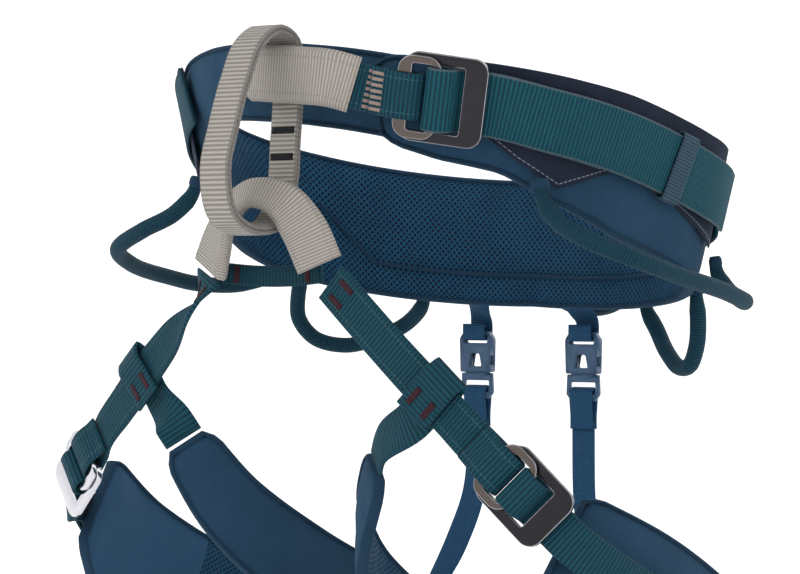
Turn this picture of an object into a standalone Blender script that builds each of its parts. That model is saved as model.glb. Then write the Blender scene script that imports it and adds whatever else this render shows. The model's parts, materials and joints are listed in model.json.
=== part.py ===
"""A climbing sit harness: padded waist belt, tie-in points with belay loop, leg loops and their hardware.

Metres, +Z up. -Y is the wearer's front and +X the wearer's left. The origin is the middle of the waist opening.
The shape is that of a harness on a hanging climber: the front of the belt and of each leg loop is raised.
Run it with: blender --background --python part.py
"""

import math

import bmesh
import bpy
import numpy as np
from mathutils import Matrix, Vector

MM = 0.001
GAP = 0.4 * MM  # between faces that touch on a real harness
NO_EXTRA = 1.0  # a step longer than any strap: its own rows are enough

# Waist opening: half ellipses that meet at the hips, tilted so that the front is higher
WAIST_SIDE = 134 * MM
WAIST_FRONT = 116 * MM
WAIST_BACK = 75 * MM
WAIST_SLOPE = 0.364
WAIST_ROLL = 0.03  # the right hip hangs a little higher
WALL_LEAN = 0.20  # the belt's lower edge lies closer to the body than its upper edge
BELT_STEP = 6  # degrees between the belt's stations

# The belt's edges: degrees round the waist (0 front, 90 left hip), upper and lower edge in mm above its line.
# The two ends overlap in front, so the right section runs on past 360.
BELT_EDGES = [
    (16, 10, -31),
    (27, 12, -36),
    (39, 13.5, -37),
    (50, 15, -45),
    (65, 17, -51),
    (85, 18, -49),
    (120, 20, -48),
    (180, 24, -43),
    (240, 23, -48),
    (275, 22, -50),
    (298, 23, -46),
    (306, 23, -35),
    (315, 22, -17),
    (330, 20, -16),
    (345, 17, -21),
    (360, 14, -25),
    (378, 11, -29),
    (396, 9, -28),
]
OVERLAP_LIFT = 12 * MM  # of the left section's end over the right one's
LIFT_FULL_UNTIL = 45
LIFT_GONE_AT = 82
LINING = 2.2 * MM
FOAM = 5.0 * MM
SHELL = 2.0 * MM
PATCH = 1.0 * MM
FOAM_INSET = 3 * MM
SHELL_OUT = LINING + FOAM + SHELL + 2 * GAP
PATCH_OUT = SHELL_OUT + GAP + PATCH

# Webbing, each with its width
WEBBING = 1.8 * MM
TAIL_WIDTH = 30 * MM
STRAP_WIDTH = 22 * MM
LEG_WIDTH = 20 * MM
TAB_WIDTH = 14 * MM
ELASTIC = 1.4 * MM
STRAP_GAP = 0.7 * MM  # between a strap and the curved belt or the strap under it
UNDER_RUN_OUT = PATCH_OUT + STRAP_GAP + WEBBING / 2
TAIL_OUT = UNDER_RUN_OUT + WEBBING + 1.3 * STRAP_GAP
TAIL_HEIGHT = -8 * MM

# Double-plate buckles, in mm from the fixed bar: along the webbing and out from the frame's middle
FRAME_THICK = 3.0
RING_THICK = 2.5
FIXED_BAR = (-3.0, 1.5)
RING_BAR = (11.5, 15.5)
WIDE_BAR = (26.0, 37.0)
RING_LIFT = FRAME_THICK / 2 + 0.5 + RING_THICK / 2
ANCHOR_FOLD = [(-17, 1.9), (-12, 3.2), (-8, 5.2), (-4.5, 6.1), (-1, 6.1), (3.5, 5.4), (7.0, 1.5), (3.5, -2.7),
               (-2, -2.9), (-9, -2.4), (-17, -0.6)]
THREADED = [(38, -5.3), (28, -5.3), (16, -5.3), (10.4, -4.2), (9.3, 0.8), (9.7, 4.6), (11.2, 6.1), (13.5, 6.5),
            (16.2, 6.2), (19.5, 4.6), (21.3, 1.5), (22.6, -1.5), (25.5, -3.0), (32, -3.0), (38, -3.0)]
BUCKLE_OUT = UNDER_RUN_OUT + 5.3 * MM

# Tie-in points and belay loop: places in mm, then the way the webbing faces, and its width where that changes
TIE_IN = [(30, -152, 37.5, 0, -1, 0), (12, -153.5, 39.5, 0, -1, 0), (-5, -153, 41, 0, -1, 0),
          (-18, -149, 42, 0, -1, 0), (-30, -142, 42.5, 0, -1, 0), (-40, -133, 42.5, 0, -1, 0),
          (-51, -124, 42, 0, -1, 0)]
SLEEVE_FROM = -17 * MM
SLEEVE_TO = 41 * MM
ARCH = [(-37, -156, -51, -0.3, -0.95, 0, 20), (-31, -158.5, -39, -0.35, -0.93, 0.1, 19),
        (-21, -162.5, -25, -0.35, -0.88, 0.35, 15), (-4, -165.5, -15.5, -0.05, -0.83, 0.55, 12),
        (12, -164.5, -19.5, 0.25, -0.88, 0.4, 14), (21.5, -161, -32, 0.3, -0.95, 0.2, 17),
        (28, -156.5, -49.5, 0.1, -0.99, 0, 20)]
BELAY_WIDTH = 16.5 * MM
BELAY_THICK = 4.5 * MM
BELAY_LINE = [(-158, 61), (-173, 54), (-184, 36), (-193, 14), (-199, -6), (-194, -26), (-176, -33.5), (-157, -29),
              (-148, -11), (-146, 8), (-144, 26), (-142.5, 43), (-146, 56)]
SLEEVE_THICK = 5.6 * MM
SLEEVE_CLEAR = 0.9 * MM  # between a sleeve and the strap in it

# Leg loops: each pad's middle line from the groin round the back of the thigh to the buckle, and its width there
THIGH_AXIS = Vector((0, 0.5, 0.87)).normalized()
RIGHT_THIGH = Vector((-0.102, -0.035, -0.205))
RIGHT_PAD = [
    (-68, -136, -135, 27),
    (-56, -116, -168, 36),
    (-42, -80, -200, 46),
    (-31, -30, -230, 56),
    (-42, 22, -252, 68),
    (-78, 53, -264, 80),
    (-126, 48, -260, 86),
    (-162, 8, -240, 83),
    (-173, -42, -207, 74),
    (-167, -80, -170, 60),
]
LEFT_THIGH = Vector((0.092, -0.028, -0.215))
LEFT_PAD = [
    (52, -138, -144, 28),
    (36, -125, -174, 38),
    (24, -99, -206, 46),
    (18, -52, -238, 56),
    (32, 2, -260, 68),
    (68, 38, -274, 80),
    (115, 40, -273, 86),
    (153, 5, -258, 83),
    (167, -46, -234, 78),
    (160, -96, -203, 70),
    (140, -129, -177, 56),
]
PAD_LINING = 1.8 * MM
PAD_FOAM = 4.5 * MM
PAD_SHELL = 1.6 * MM
PAD_GAP = 0.7 * MM
PAD_OUT = PAD_LINING + PAD_FOAM + PAD_SHELL + 2 * PAD_GAP

# Risers from the lower tie-in to the leg buckles: point, then the way the webbing faces
RIGHT_RISER = [
    (-38, -156, -54.5, -0.3, -0.95, 0),
    (-45, -157, -68, -0.9, -0.45, 0.1),
    (-67, -151, -86, -0.25, -0.95, 0.15),
    (-91, -142, -104, 0.1, -0.97, 0.15),
    (-108, -137, -118.5, 0.05, -0.97, 0.2),
]
RIGHT_BUCKLE = ((-149, -122, -154), (-0.70, 0.30, -0.60), (-0.2, -0.95, 0.1))
LEFT_RISER = [
    (34.5, -156.5, -57.5, 0.05, -0.99, 0),
    (49, -158, -70, 0.05, -0.99, 0.05),
    (70, -157, -90, 0.05, -0.99, 0.05),
    (90, -155, -109, 0.08, -0.98, 0.1),
    (102, -155, -119.5, 0.12, -0.97, 0.1),
]
LEFT_BUCKLE = ((137, -150, -153), (0.70, 0.15, -0.70), (0.3, -0.95, 0.1))
# Where the adjusting webbing lies on each pad, as shares of its length: the free tail lies on the sewn run
WEBBING_ON_PAD = {"right": (0.79, 0.86, 0.93, 0.99), "left": (0.70, 0.76, 0.82, 0.88)}
SEWN_RUN_OUT = 2.2  # mm outside the pad
FREE_TAIL_OUT = 5.4
PAD_END_LIFT = 1.7  # mm more at the pad's end, where the webbing leaves it for the buckle

# Gear loops in belt terms: degrees, mm above the belt's line, mm outside the lining
GEAR_RADIUS = 4.2 * MM
GEAR_TIP = 0.6  # the cord's ends are pressed to this much of its radius
GEAR_TAPER = 0.2  # and grow by this much from ring to ring
TUBE_SIDES = 10
FRONT_GEAR = [(46, -36, 14.2), (46.5, -44, 18), (48, -53, 28), (51.5, -60, 45), (58, -65, 59), (68, -67, 58),
              (80, -65, 52), (91, -62, 43), (100, -57, 33), (106, -49, 23.5), (108.5, -40, 17), (109, -32, 14.2)]
LEFT_REAR_GEAR = [(128, -38, 14.2), (128, -46, 16.5), (128, -57, 19.5), (129, -69, 22), (132, -78, 23), (137, -78, 23),
                  (143, -69, 22), (148, -56, 21), (150.5, -46, 17.5), (151, -38, 14.2)]
RIGHT_REAR_GEAR = [(243, -38, 14.2), (244.5, -46, 18), (245, -57, 26), (244, -69, 34), (240, -77, 37), (232, -78, 36),
                   (223, -70, 33), (215, -58, 27), (211, -47, 18.5), (210, -38, 14.2)]
HAUL_LOOP = [(162, -26, 26), (162, -34, 29), (166, -41, 31), (172, -43.5, 32), (178, -41, 31), (182, -34, 29),
             (182, -26, 26)]

# Rear clips, local mm: x across, y back, z up from the top edge
CLIP_WIDTH = 20.0
CLIP_DEPTH = 6.0
CLIP_AT = {"right": Vector((-0.043, 0.083, -0.0835)), "left": Vector((0.024, 0.083, -0.0835))}
CLIP_TAB_PHI = {"right": 196.5, "left": 171}
SLOT_WIDTH = 15.6

DENIM = ("denim_fabric", (0.030, 0.080, 0.155), 0.85, 0.0)
NAVY = ("navy_fabric", (0.020, 0.024, 0.050), 0.8, 0.0)
MESH = ("lining_mesh", (0.022, 0.095, 0.210), 0.85, 0.0)
FOAM_GREY = ("foam", (0.12, 0.12, 0.13), 0.9, 0.0)
TEAL = ("teal_webbing", (0.010, 0.105, 0.155), 0.7, 0.0)
STRETCH = ("elastic_tape", (0.030, 0.110, 0.200), 0.8, 0.0)
GREY = ("grey_webbing", (0.55, 0.52, 0.47), 0.8, 0.0)
BLACK = ("black_metal", (0.010, 0.010, 0.016), 0.25, 0.9)
BRONZE = ("grey_metal", (0.16, 0.14, 0.13), 0.3, 0.9)
SILVER = ("polished_metal", (0.60, 0.60, 0.63), 0.2, 1.0)
PLASTIC = ("blue_plastic", (0.030, 0.085, 0.170), 0.45, 0.0)


def material(spec):
    name, colour, roughness, metallic = spec
    found = bpy.data.materials.get(name)
    if found:
        return found
    made = bpy.data.materials.new(name)
    made.use_nodes = True
    shader = made.node_tree.nodes["Principled BSDF"]
    shader.inputs["Base Color"].default_value = (*colour, 1)
    shader.inputs["Roughness"].default_value = roughness
    shader.inputs["Metallic"].default_value = metallic
    return made


def add_object(name, bm, spec, origin=(0, 0, 0)):
    bmesh.ops.recalc_face_normals(bm, faces=bm.faces)
    origin = Vector(origin)
    bmesh.ops.translate(bm, vec=-origin, verts=bm.verts)
    mesh = bpy.data.meshes.new(name)
    bm.to_mesh(mesh)
    bm.free()
    made = bpy.data.objects.new(name, mesh)
    made.location = origin
    made.data.materials.append(material(spec))
    bpy.context.scene.collection.objects.link(made)
    return made


def slab(bm, inner, outer, closed=False):
    """Add the closed solid between two grids of points. A closed one runs round a loop."""
    lower = [[bm.verts.new(p) for p in row] for row in inner]
    upper = [[bm.verts.new(p) for p in row] for row in outer]
    rows = len(lower)
    across = len(lower[0])
    for i in range(rows if closed else rows - 1):
        j = (i + 1) % rows
        for k in range(across - 1):
            for a, b, c, d in (
                (lower[i][k], lower[j][k], lower[j][k + 1], lower[i][k + 1]),
                (upper[i][k], upper[j][k], upper[j][k + 1], upper[i][k + 1]),
            ):
                bm.faces.new((a, b, c))
                bm.faces.new((a, c, d))
        for k in (0, across - 1):
            bm.faces.new((lower[i][k], lower[j][k], upper[j][k]))
            bm.faces.new((lower[i][k], upper[j][k], upper[i][k]))
    if not closed:
        for i in (0, rows - 1):
            for k in range(across - 1):
                bm.faces.new((lower[i][k], lower[i][k + 1], upper[i][k + 1], upper[i][k]))


def through(rows, step, closed=False):
    """Rows of numbers on a smooth curve through the given rows. The first three numbers are a place in metres."""
    rows = np.array(rows, dtype=float)
    if closed:
        ends = np.vstack([rows[-1:], rows, rows[:2]])
    else:
        ends = np.vstack([2 * rows[:1] - rows[1:2], rows, 2 * rows[-1:] - rows[-2:-1]])
    made = []
    for i in range(len(ends) - 3):
        a, b, c, d = ends[i:i + 4]
        before, here, after = (np.linalg.norm(q[:3] - p[:3]) for p, q in ((a, b), (b, c), (c, d)))
        leave = here * ((b - a) / before - (c - a) / (before + here) + (c - b) / here)
        arrive = here * ((c - b) / here - (d - b) / (here + after) + (d - c) / after)
        count = max(1, round(here / step))
        for k in range(count):
            t = k / count
            made.append((2 * t ** 3 - 3 * t ** 2 + 1) * b + (t ** 3 - 2 * t ** 2 + t) * leave
                        + (3 * t ** 2 - 2 * t ** 3) * c + (t ** 3 - t ** 2) * arrive)
    if not closed:
        made.append(rows[-1])
    return made


def stations(rows, step, closed=False):
    """(place, face, side, width) along a strip whose rows are x, y, z, the way it faces, and its width."""
    line = through(rows, step, closed)
    made = []
    for i, row in enumerate(line):
        place = Vector(row[:3])
        if closed:
            ahead = Vector(line[(i + 1) % len(line)][:3])
            behind = Vector(line[i - 1][:3])
        else:
            ahead = Vector(line[min(i + 1, len(line) - 1)][:3])
            behind = Vector(line[max(i - 1, 0)][:3])
        along = (ahead - behind).normalized()
        face = Vector(row[3:6])
        face = (face - along * face.dot(along)).normalized()
        made.append((place, face, along.cross(face), row[6]))
    return made


def strip(bm, line, low, high, inset=0.0, closed=False):
    """Add the part of a strip between two distances along the way it faces."""
    inner = []
    outer = []
    for place, face, side, width in line:
        half = side * (width / 2 - inset)
        inner.append([place + face * low - half, place + face * low + half])
        outer.append([place + face * high - half, place + face * high + half])
    slab(bm, inner, outer, closed)


def webbing(name, rows, width, spec, thick=WEBBING, step=5 * MM, closed=False, origin=(0, 0, 0)):
    """A strap along rows of x, y, z and the way it faces."""
    bm = bmesh.new()
    line = stations([(*row, width) for row in rows], step, closed)
    strip(bm, line, -thick / 2, thick / 2, closed=closed)
    return add_object(name, bm, spec, origin)


def facing_out(points):
    """Rows for a flat loop: each point with the direction that the curve faces there, on its left side."""
    rows = []
    for i, point in enumerate(points):
        ahead = points[min(i + 1, len(points) - 1)]
        behind = points[max(i - 1, 0)]
        rows.append((point, (ahead[0] - behind[0], ahead[1] - behind[1])))
    return [(*point, -dz, dx) for point, (dx, dz) in rows]


# ---- Belt


def overlap_lift(phi):
    share = min(max((LIFT_GONE_AT - phi) / (LIFT_GONE_AT - LIFT_FULL_UNTIL), 0), 1)
    return OVERLAP_LIFT * share * share * (3 - 2 * share)


def belt_normal(phi):
    angle = math.radians(phi)
    depth = WAIST_FRONT if math.cos(angle) > 0 else WAIST_BACK
    return Vector((math.sin(angle) / WAIST_SIDE, -math.cos(angle) / depth, 0)).normalized()


def belt_point(phi, height, out):
    """By degrees round the waist, height over the belt's line, and distance outside the lining's inner face."""
    angle = math.radians(phi)
    depth = WAIST_FRONT if math.cos(angle) > 0 else WAIST_BACK
    place = Vector((WAIST_SIDE * math.sin(angle), -depth * math.cos(angle), 0))
    line = -WAIST_SLOPE * place.y - WAIST_ROLL * place.x
    place += belt_normal(phi) * (out + overlap_lift(phi) + WALL_LEAN * height)
    place.z = line + height
    return place


def on_belt(phi, height, out):
    """The same point as a row for webbing, facing away from the belt's wall."""
    ahead = belt_point(phi + 1, height, out) - belt_point(phi - 1, height, out)
    up = belt_point(phi, height + MM, out) - belt_point(phi, height - MM, out)
    return (*belt_point(phi, height, out), *ahead.cross(up).normalized())


def belt_edges(phi):
    angles, upper, lower = zip(*BELT_EDGES)
    return np.interp(phi, angles, upper) * MM, np.interp(phi, angles, lower) * MM


def belt_angles(start, end):
    inside = range(math.ceil((start + 1) / BELT_STEP) * BELT_STEP, math.floor(end - 1) + 1, BELT_STEP)
    return [start, *inside, end]


def belt_layer(name, low, high, spec, inset=0.0, start=BELT_EDGES[0][0], end=BELT_EDGES[-1][0], edges=belt_edges):
    bm = bmesh.new()
    inner = []
    outer = []
    for phi in belt_angles(start, end):
        upper, lower = edges(phi)
        heights = (lower + inset, (lower + upper) / 2, upper - inset)
        inner.append([belt_point(phi, height, low) for height in heights])
        outer.append([belt_point(phi, height, high) for height in heights])
    slab(bm, inner, outer)
    return add_object(name, bm, spec)


PATCH_EDGE = [(34, -18), (42, -30), (50, -38), (56, -30), (62, -22), (72, -22), (80, -25), (92, -34), (104, -40)]


def patch_edges(phi):
    """The reinforced hip: it reaches from just under the belt's upper edge down to a scalloped seam."""
    angles, seam = zip(*PATCH_EDGE)
    side = phi if phi < 180 else 360 - phi
    upper, lower = belt_edges(phi)
    return upper - 1 * MM, max(np.interp(side, angles, seam) * MM, lower + 2 * MM)


def make_belt():
    belt_layer("belt_lining", 0, LINING, MESH)
    belt_layer("belt_foam", LINING + GAP, LINING + GAP + FOAM, FOAM_GREY, FOAM_INSET)
    belt_layer("belt_shell", SHELL_OUT - SHELL, SHELL_OUT, DENIM)
    patches = {"left": (34, 104), "right": (256, 310)}
    for side, (start, end) in patches.items():
        belt_layer(f"hip_patch_{side}", SHELL_OUT + GAP, PATCH_OUT, NAVY, start=start, end=end, edges=patch_edges)
    rows = [on_belt(phi, (-6 if phi < 260 else -6 + 9 * (phi - 260) / 60) * MM, UNDER_RUN_OUT)
            for phi in belt_angles(114, 320)]
    webbing("waist_webbing", rows, TAIL_WIDTH, TEAL, step=NO_EXTRA)


# ---- Buckles


def local_frame(origin, along, out):
    """A matrix from buckle terms (along, across, out) to the harness."""
    along = along.normalized()
    out = (out - along * out.dot(along)).normalized()
    return Matrix.Translation(origin) @ Matrix((along, out.cross(along), out)).transposed().to_4x4()


def rounded(low_x, high_x, half_y, radius, corner=3):
    """A rectangle with round corners, in mm."""
    points = []
    for turn, (cx, cy) in enumerate(((high_x - radius, half_y - radius), (low_x + radius, half_y - radius),
                                     (low_x + radius, radius - half_y), (high_x - radius, radius - half_y))):
        for k in range(corner + 1):
            angle = math.pi / 2 * (turn + k / corner)
            points.append((cx + radius * math.cos(angle), cy + radius * math.sin(angle)))
    return points


def window_plate(name, frame, outside, window, low, high, spec, origin):
    """A flat metal ring between two outlines with the same number of points."""
    bm = bmesh.new()
    faces = []
    for level in (low, high):
        faces.append([[frame @ Vector((x * MM, y * MM, level * MM)) for x, y in pair]
                      for pair in zip(outside, window)])
    slab(bm, faces[0], faces[1], closed=True)
    return add_object(name, bm, spec, origin)


def buckle_rows(frame, points, facing=1):
    """Webbing rows from (along, out) points in a buckle's own terms."""
    rows = []
    for along, out, face_along, face_out in facing_out(points):
        place = frame @ Vector((along * MM, 0, out * MM))
        face = frame.to_3x3() @ Vector((face_along, 0, face_out)).normalized() * facing
        rows.append((*place, *face))
    return rows


def flipped(rows):
    return [(x, y, z, -a, -b, -c) for x, y, z, a, b, c in rows]


def in_mm(rows):
    return [(x * MM, y * MM, z * MM, *face) for x, y, z, *face in rows]


def make_buckle(prefix, frame, width, frame_spec, ring_spec):
    half = width / MM / 2
    origin = frame @ Vector((0, 0, 0))
    window_plate(f"{prefix}_buckle_frame", frame, rounded(FIXED_BAR[0], WIDE_BAR[1], half + 6, 7),
                 rounded(FIXED_BAR[1], WIDE_BAR[0], half + 0.8, 1.2), -FRAME_THICK / 2, FRAME_THICK / 2, frame_spec,
                 origin)
    window_plate(f"{prefix}_buckle_ring", frame, rounded(FIXED_BAR[0] - 2, RING_BAR[1], half + 4.5, 7),
                 rounded(FIXED_BAR[1], RING_BAR[0], half + 0.8, 1.2), RING_LIFT - RING_THICK / 2,
                 RING_LIFT + RING_THICK / 2, ring_spec, origin)


def waist_buckle_frame():
    seat = belt_point(29, TAIL_HEIGHT, BUCKLE_OUT)
    ahead = belt_point(33, TAIL_HEIGHT, BUCKLE_OUT) - belt_point(25, TAIL_HEIGHT, BUCKLE_OUT)
    out = belt_normal(29) - Vector((0, 0, WALL_LEAN))
    middle = (FIXED_BAR[0] + WIDE_BAR[1]) / 2 * MM
    frame = local_frame(seat, ahead, out)
    return frame @ Matrix.Translation((-middle, 0, 0))


def make_waist_straps():
    frame = waist_buckle_frame()
    make_buckle("waist", frame, TAIL_WIDTH, BLACK, BRONZE)
    rows = buckle_rows(frame, ANCHOR_FOLD)
    rows.extend(flipped(in_mm(TIE_IN)))
    bm = bmesh.new()
    line = stations([(*row, STRAP_WIDTH) for row in rows], 4 * MM)
    strip(bm, line, -WEBBING / 2, WEBBING / 2)
    add_object("tie_in_strap", bm, TEAL)
    covered = [station for station in line if SLEEVE_FROM < station[0].x < SLEEVE_TO]
    sleeve("tie_in_sleeve_upper", covered)
    under = [on_belt(phi, TAIL_HEIGHT, UNDER_RUN_OUT) for phi in (60, 54, 48)]
    over = [on_belt(phi, TAIL_HEIGHT, TAIL_OUT) for phi in range(48, 105, 7)]
    webbing("waist_tail", [*under, *buckle_rows(frame, THREADED, -1), *flipped(over)], TAIL_WIDTH, TEAL, step=4 * MM)


# ---- Gear loops


def tube(name, points, radius, spec, origin):
    """A round cord through the points, flattened a little at its sewn ends."""
    line = [Vector(place) for place in through(points, 6 * MM)]
    last = len(line) - 1
    bm = bmesh.new()
    rings = []
    side = Vector((0, 0, 1))
    for i, place in enumerate(line):
        along = (line[min(i + 1, last)] - line[max(i - 1, 0)]).normalized()
        side = (side - along * side.dot(along)).normalized()
        up = along.cross(side)
        size = radius * min(1, GEAR_TIP + GEAR_TAPER * min(i, last - i))
        turns = [math.tau * k / TUBE_SIDES for k in range(TUBE_SIDES)]
        rings.append([bm.verts.new(place + (side * math.cos(turn) + up * math.sin(turn)) * size) for turn in turns])
    for before, after in zip(rings, rings[1:]):
        for k in range(TUBE_SIDES):
            bm.faces.new((before[k - 1], before[k], after[k], after[k - 1]))
    bm.faces.new(rings[0])
    bm.faces.new(rings[-1])
    return add_object(name, bm, spec, origin)


LOOPS = {
    "gear_loop_front_left": FRONT_GEAR,
    "gear_loop_front_right": [(360 - phi, height, out) for phi, height, out in FRONT_GEAR],
    "gear_loop_rear_left": LEFT_REAR_GEAR,
    "gear_loop_rear_right": RIGHT_REAR_GEAR,
    "haul_loop": HAUL_LOOP,
}


def make_gear_loops():
    for name, route in LOOPS.items():
        points = [belt_point(phi, height * MM, out * MM) for phi, height, out in route]
        tube(name, points, GEAR_RADIUS, TEAL, (points[0] + points[-1]) / 2)


# ---- Tie-in points and belay loop


def sleeve(name, line, spec=GREY, origin=(0, 0, 0)):
    """A flat woven tube round a strap: a ring-shaped section along the strap's line, open at both ends."""
    outside = SLEEVE_THICK / 2
    inside = WEBBING / 2 + SLEEVE_CLEAR
    bm = bmesh.new()
    inner = []
    outer = []
    for place, face, side, width in line:
        wall = side * (outside - inside)
        half = side * (width / 2 + SLEEVE_CLEAR) + wall
        outer.append([place + half * a + face * outside * b for a, b in ((1, 1), (-1, 1), (-1, -1), (1, -1))])
        inner.append([place + (half - wall) * a + face * inside * b for a, b in ((1, 1), (-1, 1), (-1, -1), (1, -1))])
    for grid in (outer, inner):
        grid[:] = [[bm.verts.new(p) for p in row] for row in grid]
        for i in range(len(grid) - 1):
            for k in range(4):
                a, b, c, d = grid[i][k], grid[i + 1][k], grid[i + 1][k - 3], grid[i][k - 3]
                bm.faces.new((a, b, c))
                bm.faces.new((a, c, d))
    for i in (0, -1):
        for k in range(4):
            bm.faces.new((outer[i][k], inner[i][k], inner[i][k - 3], outer[i][k - 3]))
    return add_object(name, bm, spec, origin)


BRIDGE = [(-34, -149.5, -53, 0, -1, 0), (-15, -148.5, -54.5, 0, -1, 0), (5, -148.5, -54.5, 0, -1, 0),
          (24, -149.5, -53, 0, -1, 0)]
# The belay loop turns about the line through the two tie-in points
BELAY_TOP = Vector((0, -0.152, 0.041))
BELAY_FOOT = Vector((0, -0.1655, -0.0155))


def make_tie_in():
    arch = stations([(x * MM, y * MM, z * MM, *face, width * MM) for x, y, z, *face, width in ARCH], 4 * MM)
    sleeve("tie_in_sleeve_lower", arch)
    bm = bmesh.new()
    strip(bm, arch, -WEBBING / 2, WEBBING / 2)
    add_object("lower_tie_in_webbing", bm, TEAL)
    webbing("bridge_strap", in_mm(BRIDGE), 10 * MM, TEAL)
    count = len(BELAY_LINE)
    rows = []
    for i, (y, z) in enumerate(BELAY_LINE):
        ahead = Vector(BELAY_LINE[(i + 1) % count])
        behind = Vector(BELAY_LINE[i - 1])
        along = (ahead - behind).normalized()
        rows.append((0, y * MM, z * MM, 0, along.y, -along.x))
    webbing("belay_loop", rows, BELAY_WIDTH, GREY, BELAY_THICK, closed=True, origin=BELAY_TOP)


# ---- Leg loops

LEG_HINGE = Vector((-0.005, -0.156, -0.052))


def pad_line(leg):
    points, thigh = {"right": (RIGHT_PAD, RIGHT_THIGH), "left": (LEFT_PAD, LEFT_THIGH)}[leg]
    rows = []
    for x, y, z, width in points:
        place = Vector((x, y, z)) * MM
        away = place - thigh
        away -= THIGH_AXIS * away.dot(THIGH_AXIS)
        rows.append((*place, *away.normalized(), width * MM))
    return stations(rows, 13 * MM)


def pad_place(line, share, across, out):
    """A row on a pad: share of its length, mm above its middle line, mm outside its lining."""
    at = share * (len(line) - 1)
    i = min(int(at), len(line) - 2)
    place, face, side, _ = (a.lerp(b, at - i) if k < 3 else a for k, (a, b) in enumerate(zip(line[i], line[i + 1])))
    up = side if side.dot(THIGH_AXIS) > 0 else -side
    return (*(place + up * across * MM + face * out * MM), *face)


def leg_layer(name, line, low, high, spec, inset=0.0):
    bm = bmesh.new()
    strip(bm, line, low, high, inset)
    return add_object(name, bm, spec, LEG_HINGE)


def keeper_rows(cross, along, face, towards):
    """A strap that starts on the riser's face, folds round its far edge and leads behind it towards the pad."""
    along = along.normalized()
    face = (face - along * face.dot(along)).normalized()
    near = along.cross(face)
    if near.dot(towards - cross) < 0:
        near = -near
    rows = []
    for share, out, face_near, face_out in ((13, 3.2, 0, 1), (2, 3.2, 0, 1), (-10, 3.2, -0.15, 1), (-14.5, 0, -1, 0),
                                            (-10, -3.2, -0.15, -1), (2, -3.2, 0, -1), (13, -2.8, 0, -1)):
        place = cross + (near * share + face * out) * MM
        rows.append((*place, *(near * face_near + face * face_out)))
    return rows


def buckle_frame_at(centre, along, out):
    frame = local_frame(Vector(centre) * MM, Vector(along), Vector(out))
    return frame @ Matrix.Translation((-(FIXED_BAR[0] + WIDE_BAR[1]) / 2 * MM, 0, 0))


def make_leg(leg):
    line = pad_line(leg)
    riser = in_mm({"right": RIGHT_RISER, "left": LEFT_RISER}[leg])
    leg_layer(f"leg_lining_{leg}", line, 0, PAD_LINING, MESH)
    leg_layer(f"leg_foam_{leg}", line, PAD_LINING + PAD_GAP, PAD_LINING + PAD_GAP + PAD_FOAM, FOAM_GREY, FOAM_INSET)
    leg_layer(f"leg_shell_{leg}", line, PAD_OUT - PAD_SHELL, PAD_OUT, DENIM)
    frame = buckle_frame_at(*{"right": RIGHT_BUCKLE, "left": LEFT_BUCKLE}[leg])
    make_buckle(f"leg_{leg}", frame, LEG_WIDTH, *{"right": (SILVER, SILVER), "left": (BLACK, BRONZE)}[leg])
    rows = [*riser, *flipped(reversed(buckle_rows(frame, ANCHOR_FOLD)))]
    webbing(f"riser_{leg}", rows, LEG_WIDTH, TEAL, step=4 * MM, origin=LEG_HINGE)
    shares = WEBBING_ON_PAD[leg]
    under = []
    tail = []
    for share in shares:
        out = PAD_OUT / MM + (PAD_END_LIFT if share == shares[-1] else 0)
        under.append(pad_place(line, share, 0, out + SEWN_RUN_OUT))
        tail.insert(0, pad_place(line, share, 0, out + FREE_TAIL_OUT))
    rows = [*under, *buckle_rows(frame, THREADED, -1), *flipped(tail)]
    webbing(f"leg_webbing_{leg}", rows, LEG_WIDTH, TEAL, step=4 * MM, origin=LEG_HINGE)
    cross = Vector(riser[3][:3])
    start = line[0]
    pad_middle = start[0] + start[1] * PAD_OUT / 2
    rows = keeper_rows(cross, Vector(riser[4][:3]) - Vector(riser[2][:3]), Vector(riser[3][3:]), pad_middle)
    into = (line[0][0] - line[1][0]).normalized()
    rows.append((*(pad_middle + into * 10 * MM), *-start[1]))
    rows.append((*(pad_middle + into * 3 * MM), *-start[1]))
    webbing(f"keeper_strap_{leg}", rows, LEG_WIDTH, TEAL, thick=1.6 * MM, step=3 * MM, origin=LEG_HINGE)


# ---- Rear clips and elastic straps


def prism(name, outline, low, high, place, spec, origin):
    """A flat piece with an outline across and up, between two depths in mm."""
    bm = bmesh.new()
    bottom = [bm.verts.new(place @ Vector((x * MM, low * MM, z * MM))) for x, z in outline]
    top = [bm.verts.new(place @ Vector((x * MM, high * MM, z * MM))) for x, z in outline]
    bm.faces.new(bottom)
    bm.faces.new(top)
    for i in range(len(outline)):
        bm.faces.new((bottom[i - 1], bottom[i], top[i], top[i - 1]))
    return add_object(name, bm, spec, origin)


def rectangle(low_x, high_x, low_z, high_z):
    return [(low_x, low_z), (high_x, low_z), (high_x, high_z), (low_x, high_z)]


def cut(target, name, outline, low, high, place):
    """Cut a window in a piece, with a hidden cutter."""
    cutter = prism(name, outline, low, high, place, PLASTIC, target.location)
    cutter.hide_render = True
    cutter.display_type = "WIRE"
    window = target.modifiers.new(name, "BOOLEAN")
    window.operation = "DIFFERENCE"
    window.object = cutter


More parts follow.
